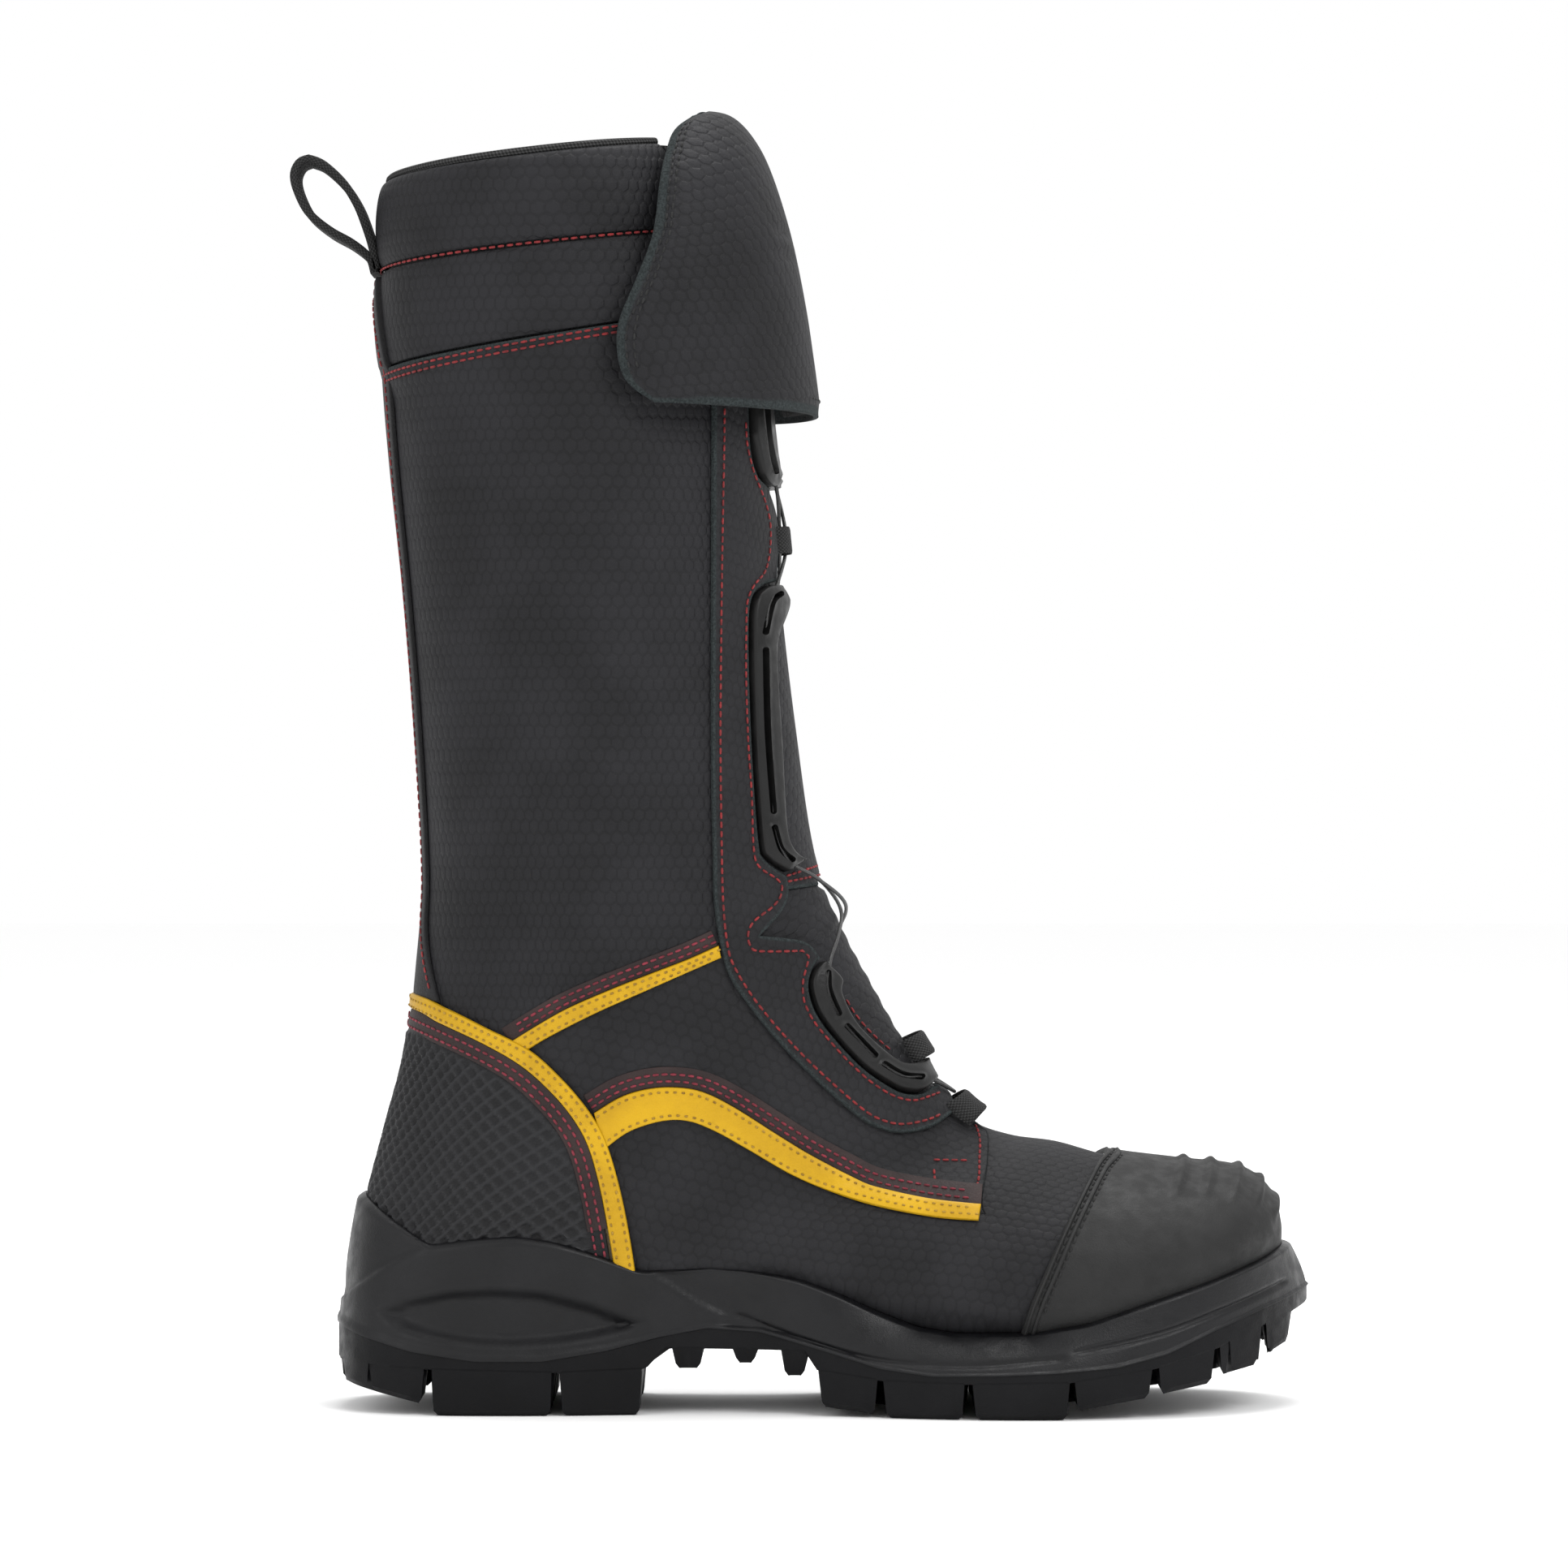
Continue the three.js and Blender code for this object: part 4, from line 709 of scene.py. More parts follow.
# ---------------------------------------------------------------- Materials
class Graph:
    """A material's nodes, joined as they are added."""

    def __init__(self, name):
        self.material = bpy.data.materials.new(name)
        self.material.use_nodes = True
        self.tree = self.material.node_tree
        self.tree.nodes.clear()

    def add(self, kind, inputs=(), output=0, **settings):
        node = self.tree.nodes.new("ShaderNode" + kind)
        for key, value in settings.items():
            setattr(node, key, value)
        for key, value in dict(inputs).items():
            if isinstance(value, bpy.types.NodeSocket):
                self.tree.links.new(value, node.inputs[key])
            else:
                node.inputs[key].default_value = value
        return node.outputs[output]

    def math(self, operation, first, second=0.0, third=0.0):
        return self.add("Math", {0: first, 1: second, 2: third}, operation=operation)

    def vector(self, operation, first, second=(0, 0, 0), third=(0, 0, 0), output=0):
        return self.add("VectorMath", {0: first, 1: second, 2: third}, output, operation=operation)

    def ramp(self, value, low, high, start=0.0, end=1.0):
        return self.add("MapRange", {0: value, 1: low, 2: high, 3: start, 4: end},
                        interpolation_type="SMOOTHSTEP")

    def noise(self, place, scale, detail=2.0):
        return self.add("TexNoise", {"Vector": place, "Scale": scale, "Detail": detail})

    def colour(self, factor, first, second):
        return self.add("Mix", {0: factor, 6: first, 7: second}, 2, data_type="RGBA")

    def mix(self, factor, first, second):
        return self.add("Mix", {0: factor, 2: first, 3: second}, data_type="FLOAT")

    def attribute(self, name, output=2):
        return self.add("Attribute", output=output, attribute_name=name)

    def finish(self, colour, roughness, height, depth, specular=0.5, metallic=0.0):
        """Ends the material with a shader; depth is the bump's in millimetres."""
        bump = self.add("Bump", {"Strength": 1.0, "Distance": depth * MM, "Height": height})
        self.end(self.add("BsdfPrincipled", {
            "Base Color": colour, "Roughness": roughness, "Normal": bump, "Metallic": metallic,
            "Specular IOR Level": specular}))
        return self.material

    def end(self, shader):
        output = self.tree.nodes.new("ShaderNodeOutputMaterial")
        self.tree.links.new(shader, output.inputs["Surface"])


def grey(level, tint=(1, 1, 1)):
    return (level * tint[0], level * tint[1], level * tint[2], 1)


def darker(colour, share):
    return tuple(share * value for value in colour[:3]) + (1,)


def object_place(graph):
    """Object coordinates in millimetres."""
    place = graph.add("TexCoord", output=3)
    return graph.add("VectorMath", {0: place, 3: 1000.0}, operation="SCALE")


def pattern_vector(graph, turn=0.0):
    place = graph.attribute("pattern", 1)
    if turn == 0.0:
        return place
    return graph.add("VectorRotate", {"Vector": place, "Angle": math.radians(turn)}, rotation_type="Z_AXIS")


def hexagon_edges(graph, place, cell):
    """Distance from the nearest edge of a honeycomb, in cells."""
    scaled = graph.add("VectorMath", {0: place, 3: 1 / cell}, operation="SCALE")
    half = (0.5, math.sqrt(3) / 2, 0.5)
    low = tuple(-value for value in half)
    one = graph.vector("WRAP", scaled, half, low)
    other = graph.vector("WRAP", graph.vector("ADD", scaled, half), half, low)
    nearer = graph.math("LESS_THAN", graph.vector("DOT_PRODUCT", one, one, output=1),
                        graph.vector("DOT_PRODUCT", other, other, output=1))
    chosen = graph.add("Mix", {0: nearer, 4: other, 5: one}, 1, data_type="VECTOR")
    mirrored = graph.vector("ABSOLUTE", chosen)
    slanted = graph.vector("DOT_PRODUCT", mirrored, (0.5, math.sqrt(3) / 2, 0), output=1)
    across = graph.add("SeparateXYZ", {0: mirrored})
    return graph.math("SUBTRACT", 0.5, graph.math("MAXIMUM", slanted, across))


def leather(name, dark, light, cell=4.3, turn=0.0, groove=0.5):
    """Embossed leather: a honeycomb of shallow grooves over fine grain, and rough suede at raw edges."""
    graph = Graph(name)
    place = pattern_vector(graph, turn)
    sway = graph.add("TexNoise", {"Vector": place, "Scale": 0.22, "Detail": 1.0}, 1)
    swayed = graph.vector("MULTIPLY_ADD", sway, (1.3, 1.3, 0), place)
    edges = hexagon_edges(graph, swayed, cell)
    pad = graph.ramp(edges, 0.0, 0.13)
    crest = graph.ramp(edges, 0.06, 0.34)
    fine = graph.noise(object_place(graph), 2.6, 4.0)
    broad = graph.noise(object_place(graph), 0.035, 3.0)
    raised = graph.math("ADD", graph.math("MULTIPLY", pad, groove), graph.math("MULTIPLY", crest, 0.3))
    height = graph.math("ADD", raised, graph.math("MULTIPLY", fine, 0.35))
    edge = graph.attribute("edge")
    # Painted shade: the colour is darker in the honeycomb's grooves than on its pads; the broad noise adds
    # random tone.
    painted_groove_shade_and_tone = graph.math("ADD", graph.math("MULTIPLY", pad, 0.35), graph.ramp(broad, 0.3, 0.7, 0.0, 0.65))
    face = graph.colour(painted_groove_shade_and_tone, dark, light)
    suede = graph.noise(object_place(graph), 1.4, 5.0)
    raw_face = graph.colour(graph.ramp(suede, 0.35, 0.68), darker(RAW_SUEDE, 0.5), RAW_SUEDE)
    colour = graph.colour(edge, face, raw_face)
    worn = graph.ramp(fine, 0.3, 0.7, 0.56, 0.70)
    relief = graph.mix(edge, height, graph.math("MULTIPLY", suede, 2.2))
    return graph.finish(colour, graph.mix(edge, worn, 0.95), relief, 0.32, specular=0.2)


def plain_leather(name, dark, light, rough=0.5, depth=0.12, grain=1.6, crest=None):
    """Smooth leather with a fine pebble, slightly uneven colour, and a lighter colour on its crests where it
    is embossed.
    """
    graph = Graph(name)
    place = object_place(graph)
    pebble = graph.add("TexVoronoi", {"Vector": place, "Scale": grain}, feature="SMOOTH_F1")
    fine = graph.noise(place, 3.2, 4.0)
    broad = graph.noise(place, 0.06, 3.0)
    edge = graph.attribute("edge")
    face = graph.colour(graph.ramp(broad, 0.3, 0.7), dark, light)
    colour = graph.colour(graph.math("MULTIPLY", edge, 0.55), face, darker(dark, 0.55))
    if crest is not None:
        raised = graph.attribute("raised")
        colour = graph.colour(raised, colour, crest)
    height = graph.math("ADD", pebble, graph.math("MULTIPLY", fine, 0.5))
    return graph.finish(colour, graph.ramp(fine, 0.3, 0.7, rough - 0.05, rough + 0.08), height, depth,
                        specular=0.25)


def woven(name, dark, light, pitch, depth, slant=0.0):
    """Webbing and knitted cloth: threads that pass over and under each other."""
    graph = Graph(name)
    place = pattern_vector(graph, slant)
    waves = []
    for axis, step in enumerate(pitch):
        along = graph.add("SeparateXYZ", {0: place}, axis)
        waves.append(graph.math("SINE", graph.math("MULTIPLY", along, 2 * PI / step)))
    crossing = graph.math("MULTIPLY", *waves)
    fuzz = graph.noise(object_place(graph), 2.4, 5.0)
    height = graph.math("ADD", graph.ramp(crossing, -0.8, 0.8), graph.math("MULTIPLY", fuzz, 0.8))
    # Painted shade: the colour follows the height, darker where the threads dip under each other; the fuzz
    # adds random tone.
    colour = graph.colour(graph.ramp(height, 0.3, 1.5), dark, light)
    return graph.finish(colour, graph.ramp(fuzz, 0.3, 0.7, 0.77, 0.93), height, depth, specular=0.25)


def moulded(name, dark, light, rough=0.5, depth=0.08, scale=1.1, specular=0.5):
    """Moulded rubber or plastic with a fine skin and faint flow marks."""
    graph = Graph(name)
    place = object_place(graph)
    fine = graph.noise(place, scale * 2.4, 4.0)
    pores = graph.add("TexVoronoi", {"Vector": place, "Scale": scale}, feature="SMOOTH_F1")
    broad = graph.noise(place, 0.05, 4.0)
    height = graph.math("ADD", fine, graph.math("MULTIPLY", pores, 0.5))
    colour = graph.colour(graph.ramp(broad, 0.3, 0.7), dark, light)
    return graph.finish(colour, graph.ramp(graph.noise(place, 0.2, 3.0), 0.3, 0.7, rough - 0.08, rough + 0.1),
                        height, depth, specular=specular)


def metal(name, dark, light, rough=0.35, pitch=0.9):
    """Stranded or brushed steel: fine lines run round the piece at a slant."""
    graph = Graph(name)
    place = pattern_vector(graph, 32)
    lines = graph.add("TexWave", {"Vector": place, "Scale": 1 / pitch, "Distortion": 0.2}, 1)
    fine = graph.noise(object_place(graph), 3.0, 3.0)
    # Painted shade: the colour follows the lines' relief, darker where they are low; the fine noise adds
    # random tone.
    colour = graph.colour(graph.ramp(graph.math("ADD", lines, fine), 0.5, 1.4), dark, light)
    return graph.finish(colour, graph.ramp(fine, 0.3, 0.7, rough - 0.08, rough + 0.12), lines, 0.06,
                        metallic=1.0)


def thread(name, dark, light):
    """Sewing thread: a fine twist and uneven shade."""
    graph = Graph(name)
    place = object_place(graph)
    twist = graph.add("TexWave", {"Vector": place, "Scale": 1.6, "Distortion": 2.0}, 1)
    broad = graph.noise(place, 0.4, 3.0)
    colour = graph.colour(graph.ramp(broad, 0.3, 0.7), dark, light)
    return graph.finish(colour, graph.ramp(twist, 0, 1, 0.55, 0.75), twist, 0.08, specular=0.4)


RAW_SUEDE = (0.030, 0.037, 0.038, 1)
COOL = (0.98, 0.97, 1.1)
COOLER = (0.98, 0.97, 1.12)
COOL_RUBBER = (0.97, 0.98, 1.15)
LEATHER_SHAFT = leather("leather_shaft", grey(0.0058, COOL), grey(0.0135, COOLER), groove=0.55)
LEATHER_FLAP = leather("leather_flap", grey(0.0058, COOL), grey(0.0135, COOLER), cell=4.2, turn=52,
                       groove=0.7)
LEATHER_FOOT = leather("leather_foot", grey(0.0060, COOL), grey(0.0140, COOL), turn=12, groove=0.35)
LEATHER_SMOOTH = plain_leather("leather_smooth", grey(0.0045, COOL), grey(0.0090, COOL), rough=0.6)
LEATHER_COUNTER = plain_leather("leather_counter", grey(0.0040, COOLER), grey(0.0075, COOLER), rough=0.55,
                                crest=grey(0.018, (0.97, 0.98, 1.08)))
LEATHER_BROWN = plain_leather("leather_brown_band", (0.016, 0.009, 0.009, 1), (0.030, 0.018, 0.017, 1),
                              rough=0.6)
LEATHER_YELLOW = plain_leather("leather_yellow", (0.42, 0.235, 0.0015, 1), (0.52, 0.30, 0.002, 1), rough=0.45,
                               depth=0.08)
LINING_CLOTH = woven("lining_cloth", grey(0.008), grey(0.03), pitch=(2.2, 2.2), depth=0.25, slant=45)
BINDING_KNIT = woven("binding_knit", grey(0.008), grey(0.05), pitch=(1.8, 1.3), depth=0.5, slant=35)
WEBBING = woven("webbing", grey(0.008), grey(0.032), pitch=(1.5, 1.1), depth=0.4)
SOLE_RUBBER = moulded("sole_rubber", grey(0.0036, COOL_RUBBER), grey(0.0054, COOL_RUBBER), rough=0.38,
                      specular=0.25)
TREAD_RUBBER = moulded("tread_rubber", grey(0.0026, COOL_RUBBER), grey(0.0042, COOL_RUBBER), rough=0.45,
                       specular=0.13)
GUARD_RUBBER = moulded("guard_rubber", grey(0.0108), grey(0.0142), rough=0.58, depth=0.12, specular=0.25)
BLACK_PLASTIC = moulded("black_plastic", grey(0.0045), grey(0.0075), rough=0.42, depth=0.04, specular=0.25)
STEEL = metal("steel", grey(0.30), grey(0.62))
WIRE_STEEL = metal("wire_steel", grey(0.02), grey(0.14), rough=0.42, pitch=0.7)
FIBRE_BOARD = moulded("fibre_board", (0.20, 0.15, 0.09, 1), (0.34, 0.27, 0.18, 1), rough=0.85, depth=0.2)
FOAM = moulded("foam", grey(0.03), grey(0.055), rough=0.9, depth=0.3, scale=0.6)
RED_THREAD = thread("thread_red", (0.14, 0.010, 0.012, 1), (0.27, 0.020, 0.022, 1))
MAROON_THREAD = thread("thread_maroon", (0.13, 0.012, 0.022, 1), (0.27, 0.03, 0.05, 1))
TAN_THREAD = thread("thread_tan", (0.26, 0.14, 0.012, 1), (0.42, 0.25, 0.03, 1))
BLACK_THREAD = thread("thread_black", grey(0.006), grey(0.016))


# ---------------------------------------------------------------- Leather upper
def shaft_edge_lift(point):
    """The shaft panel's top edge lies over the foot of the lower collar pad."""
    return 1.3 * (1 - smoothstep(3, 12, line_distance(point[:, [0, 2]], COLLAR_FOOT)))


def diamond_ropes(point):
    """Raised ropes that cross each other in diamonds on the heel counter."""
    around = 45 - np.abs(point[:, 1])
    x = point[:, 0] - around * (1 - smoothstep(20, 60, point[:, 0]))
    lift = np.zeros(len(point))
    for slope in DIAMOND_SLOPES:
        across = (point[:, 2] - slope * x) / math.hypot(1, slope)
        phase = np.abs((across / DIAMOND_PITCH) % 1 - 0.5)
        lift = np.maximum(lift, 1 - smoothstep(0.05, 0.24, phase))
    margin = line_distance(point[:, [0, 2]], HEEL_TRIM_INNER)
    return DIAMOND_HEIGHT * lift * smoothstep(BAND_WIDTH - 0.2, 7.6, margin)


def band_beside(line, width):
    """A closed outline between a line and its copy moved aside."""
    return np.vstack([line, offset_line(line, width)[::-1]])


def make_upper():
    thin = {"rounding": 0.2, "spacing": 2.5}
    for side, sign in BOTH_SIDES.items():
        panel(f"shaft_leather_{side}", on_side(SHAFT, sign), LEATHER, LEATHER_SHAFT, "leather_black",
              spacing=4.0, height=shaft_edge_lift, border=0.9, replaces=[f"shaft_panel_{side}"])
        panel(f"quarter_leather_{side}", on_side(QUARTER, sign), LEATHER, LEATHER_FOOT, "leather_black",
              mode="foot", spacing=4.0, replaces=[f"quarter_{side}"])
        ankle_band = band_beside(ANKLE_TRIM_UPPER, -ANKLE_BAND_WIDTH)
        panel(f"ankle_band_{side}", on_side(ankle_band, sign), BAND, LEATHER_BROWN, "leather_black", **thin)
        side_band = band_beside(SIDE_TRIM_UPPER, BAND_WIDTH)
        panel(f"side_band_{side}", on_side(side_band, sign), BAND, LEATHER_BROWN, "leather_black", **thin)
        panel(f"ankle_trim_leather_{side}", on_side(ANKLE_TRIM_LOWER + ANKLE_TRIM_UPPER, sign), TRIM,
              LEATHER_YELLOW, "leather_yellow", spacing=2.0, rounding=0.6, replaces=[f"ankle_trim_{side}"])
        panel(f"side_trim_leather_{side}", on_side(SIDE_TRIM_UPPER + SIDE_TRIM_LOWER, sign), TRIM,
              LEATHER_YELLOW, "leather_yellow", spacing=2.5, rounding=0.6, replaces=[f"side_trim_{side}"])
        panel(f"facing_leather_{side}", on_side(FACING, sign, step=1.6), FACING_LAYER, LEATHER_FOOT,
              "leather_black", spacing=2.5, border=0.8, replaces=[f"facing_{side}"])
    panel("vamp_leather", across_front(VAMP), LEATHER, LEATHER_FOOT, "leather_black", mode="foot",
          spacing=4.0, replaces=["vamp"])
    panel("counter_leather", across_back(COUNTER), OVERLAY, LEATHER_COUNTER, "leather_counter",
          spacing=0.72, height=diamond_ropes, replaces=["heel_counter"], sharp=60)
    counter_band = np.vstack([HEEL_TRIM_INNER[:0:-1], offset_line(HEEL_TRIM_INNER, BAND_WIDTH)[1:]])
    panel("counter_band", across_back(counter_band), COUNTER_BAND, LEATHER_BROWN, "leather_counter",
          rounding=0.15, spacing=2.5)
    panel("heel_trim_leather", across_back(HEEL_TRIM_OUTER + HEEL_TRIM_INNER), HEEL_TRIM, LEATHER_YELLOW,
          "leather_yellow", spacing=2.0, rounding=0.7, replaces=["heel_trim"])
    panel("back_strip_leather", across_back([(-20, 361), *BACK_STRIP_EDGE, (-20, 135)]), BACK_STRIP,
          LEATHER_SMOOTH, "leather_black", mode="back", spacing=2.5, height=strip_lift,
          replaces=["back_strip"])


def strip_lift(point):
    """The back strip rides up over the lower collar pad."""
    section = place_on_skin(point[:, [0, 2]])[:, 0]
    over = pad_crown(np.clip(section - 1, 0, 1), LOWER_PAD_CROWN)
    return np.where(section < 2, over, 0) * (1 - smoothstep(1.96, 2.1, section))


def make_toe_guard():
    foot = [(224, 17.5), (238, 20.2), (262, 28), (274, 31), (282, 34.5)]
    # Round the toe the outline follows the sections, as section and angle.
    tail = [[16.9, 2.6], [17.5, 3.0], [18.4, 3.08], [19.3, 3.08], [19.9, 2.9], [19.93, 1.9], [19.93, 0.9]]
    domain = mirrored(np.vstack([front_half(TOE_GUARD_REAR + foot), tail]))
    panel("toe_guard_rubber", domain, GUARD, GUARD_RUBBER, "guard_rubber", mode="foot", spacing=1.5,
          rounding=0.6, height=toe_relief, replaces=["toe_guard"], sharp=60)
    for number, (near, far) in enumerate(GUARD_WELTS, 1):
        half = np.vstack([offset_line(TOE_GUARD_REAR, near), offset_line(TOE_GUARD_REAR, far)[::-1]])
        panel(f"guard_welt_{number}", across_front(half, 1.4), WELT, GUARD_RUBBER, "guard_rubber",
              mode="foot", spacing=1.6)


def toe_relief(point):
    """Ribs that run over the top of the toe, one behind the other, and die out down its sides."""
    place = place_on_skin(point[:, [0, 2]])
    lift = np.zeros(len(point))
    for section, half_width in TOE_RIBS:
        lift = np.maximum(lift, 1 - smoothstep(0, half_width, np.abs(place[:, 0] - section)))
    return TOE_RIB_HEIGHT * lift * (1 - smoothstep(0.62, 0.98, place[:, 1]))


# ---------------------------------------------------------------- Tongue and flap
def make_tongue():
    half = front_half(TONGUE_SHIN)
    half[:, 0] = np.maximum(half[:, 0], 0.08)
    panel("tongue_shin_leather", mirrored(half), TONGUE_SHIN_LAYER, LEATHER_FLAP, "leather_black",
          mode="front", spacing=3.5, border=0.8, replaces=["tongue_shin"])
    panel("tongue_ankle_leather", across_front(TONGUE_ANKLE), TONGUE_ANKLE_LAYER, LEATHER_FLAP,
          "leather_black", mode="front", spacing=2.0, height=bellows, replaces=["tongue_ankle"])
    rows, columns = 15, 61
    across = np.linspace(-1, 1, columns)
    fold_x, fold_z = FLAP_HINGE
    root = lifted(np.full(columns, 0.12), -across * 0.52, np.zeros(columns))
    fold = np.stack([np.full(columns, fold_x - 2.4), across * 30, np.full(columns, fold_z - 1)], axis=1)
    share = np.linspace(0, 1, rows)[:, None, None]
    sheet("tongue_top_leather", root * (1 - share) + fold * share, FLAP_THICKNESS, LEATHER_FLAP, "boot")


def bellows(point):
    """Soft cross folds in the flexible ankle part of the tongue."""
    along = point[:, 2] - 0.9 * point[:, 0]
    return 0.18 * np.sin(along * 2 * PI / 9.5)


def sheet_normals(grid):
    down = np.gradient(grid, axis=0)
    across = np.gradient(grid, axis=1)
    return unit(np.cross(across, down))


def sheet(name, middle, thickness, material, body, slot="leather_black", replaces=(), raw=0.0, bulge=0.0,
          round_over=(0.35, 0.8)):
    """A closed sheet through a grid of points, with rounded borders, raw edges and a bulge outside."""
    rows, columns = middle.shape[:2]
    normal = sheet_normals(middle)
    half = np.full((rows, columns), thickness / 2)
    for ring, share in enumerate(round_over):
        for line in (np.s_[ring, :], np.s_[rows - 1 - ring, :], np.s_[:, ring], np.s_[:, columns - 1 - ring]):
            half[line] = np.minimum(half[line], thickness / 2 * share)
    outer = middle + normal * (half + bulge)[..., None]
    inner = middle - normal * half[..., None]
    points = np.vstack([outer.reshape(-1, 3), inner.reshape(-1, 3)])
    edge = 1 - smoothstep(raw, raw + 0.5, border_gap(middle)) if raw else np.zeros((rows, columns))
    edge = np.concatenate([edge.ravel(), np.ones(rows * columns)])
    return make(name, points, sheet_faces(rows, columns), material, body, slot, replaces, 60,
                pattern=np.tile(grid_place(middle), (2, 1)), edge=edge)


def grid_lengths(grid, axis):
    """Lengths along the columns (axis 0) or the rows (axis 1) of a grid of points."""
    steps = np.linalg.norm(np.diff(grid, axis=axis), axis=2)
    return np.insert(np.cumsum(steps, axis=axis), 0, 0, axis=axis)


def grid_place(middle):
    """Flat coordinates of a grid of points: lengths along its rows from the middle, and down its columns."""
    along = grid_lengths(middle, 1)
    along -= along[:, -1:] / 2
    drop = grid_lengths(middle, 0).mean(axis=1, keepdims=True) + 0 * along
    return np.stack([along, drop], axis=-1).reshape(-1, 2)


def border_gap(middle):
    """Distance of each point of a grid from its side and last borders, measured along the grid."""
    across, down = grid_lengths(middle, 1), grid_lengths(middle, 0)
    return np.minimum(np.minimum(across, across[:, -1:] - across), down[-1:] - down)


def flap_surface(place, turn):
    table = read_table(FLAP_ROWS, place)
    front_x, front_z, edge_x, edge_z, half_width = np.moveaxis(table, -1, 0)
    power = 2 / FLAP_FULLNESS
    back = 1 - np.abs(np.cos(turn)) ** power
    out = np.sign(np.sin(turn)) * np.abs(np.sin(turn)) ** power
    return np.stack([front_x + (edge_x - front_x) * back, out * half_width,
                     front_z + (edge_z - front_z) * back], axis=-1)


def border_steps(count, length, both=True):
    """Shares of a length that are close together near its ends, or only near its last end."""
    near = BORDER_STEPS / length
    if both:
        return np.concatenate([near, np.linspace(near[-1], 1 - near[-1], count)[1:-1], (1 - near)[::-1]])
    return np.concatenate([np.linspace(0, 1 - near[-1], count), (1 - near)[::-1][1:]])


def flap_bulge(middle, place):
    """How far the flap's outer face stands out: a soft crown, a slow wave and short creases at its front."""
    x, y, z = np.moveaxis(middle, -1, 0)
    gap = border_gap(middle)
    wave = 0.5 * np.sin(x * 0.11 + z * 0.07) * np.sin(y * 0.05) * smoothstep(0, 12, gap)
    creases = np.zeros_like(x)
    for centre_z, slope, depth, reach in FLAP_CREASES:
        line = z - centre_z - slope * (x - 143)
        across = np.exp(-(line / 1.1) ** 2) * np.exp(-((x - 143.5) / reach) ** 2)
        creases += depth * across * smoothstep(4, 20, np.abs(y))
    return wave + creases + 0.9 * smoothstep(0.5, 6, gap) * smoothstep(0, 0.9, place) - 0.3


def make_flap():
    share_down = border_steps(64, FLAP_LENGTH, both=False)
    share_across = border_steps(112, FLAP_BREADTH)
    place, turn = np.meshgrid(share_down * FLAP_LAST, (0.5 - share_across) * PI, indexing="ij")
    middle = flap_surface(place, turn)
    sheet("tongue_flap_leather", middle, FLAP_THICKNESS, LEATHER_FLAP, "flap", raw=2.5,
          bulge=flap_bulge(middle, place), replaces=["tongue_flap"])
    make_fold()
    hook = flap_surface(*np.meshgrid(np.linspace(6.9, 7.6, 9), np.linspace(0.55, -0.55, 49), indexing="ij"))
    sheet("flap_hook_tape", hook - [2.8, 0, 0], HOOK_TAPE_THICKNESS, WEBBING, "flap", slot="webbing",
          replaces=["flap_hook_pad"])


def make_fold():
    """The rolled leather that joins the tongue to the flap and bends between them."""
    hinge_x, hinge_z = FLAP_HINGE
    rows, columns = 17, 61
    turns = np.linspace(math.radians(202), math.radians(18), rows)
    middle = np.empty((rows, columns, 3))
    middle[..., 0] = (hinge_x + 0.4 + 1.5 * np.cos(turns))[:, None]
    middle[..., 1] = np.linspace(-FOLD_HALF_WIDTH, FOLD_HALF_WIDTH, columns)
    middle[..., 2] = (hinge_z - 1.3 + np.sin(turns))[:, None]
    fold = sheet("tongue_fold_leather", middle, FOLD_THICKNESS, LEATHER_FLAP, None, round_over=(0.6,))
    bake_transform(fold)


# ---------------------------------------------------------------- Collar
def pad_crown(share, height):
    return PAD_EDGE + height * np.maximum(np.sin(PI * share), 0) ** 0.6


def make_pad(name, top, foot, height, replaces):
    """A padded band of the collar, blown up by a cloth simulation between its held seams."""
    rows, columns = 15, 170
    seam = 0.02
    share, around = np.meshgrid(np.linspace(seam, 1 - seam, rows), np.linspace(0, 1, columns), indexing="ij")
    section = top + (foot - top) * share
    angle = PAD_FRONT_ANGLE + 2 * (PI - PAD_FRONT_ANGLE) * around
    crown = pad_crown((share - seam) / (1 - 2 * seam), height * 0.8)
    outer = lifted(section, angle, crown).reshape(-1, 3)
    inner = lifted(section, angle, np.full_like(section, PAD_INSIDE)).reshape(-1, 3)
    count = rows * columns
    pad = make(name, np.vstack([outer, inner]), sheet_faces(rows, columns), LEATHER_SHAFT, "boot",
               "leather_black", replaces, 60, pattern=np.tile(pattern_place(outer, "shaft"), (2, 1)),
               edge=np.repeat([0.0, 1.0], count))
    free = np.arange(count).reshape(rows, columns)[1:-1, 1:-1].ravel()
    held = np.setdiff1d(np.arange(2 * count), free)
    swell(pad, held.tolist(), pressure=4.0, cap=height * 0.45)
    smooth = pad.modifiers.new("smooth", "SUBSURF")
    smooth.levels = smooth.render_levels = 1
    apply_modifiers(pad)


def apply_modifiers(piece):
    """Keeps the shape that the piece's modifiers give it, and removes them."""
    graph = bpy.context.evaluated_depsgraph_get()
    mesh = bpy.data.meshes.new_from_object(piece.evaluated_get(graph), preserve_all_data_layers=True,
                                           depsgraph=graph)
    piece.modifiers.clear()
    piece.data = mesh


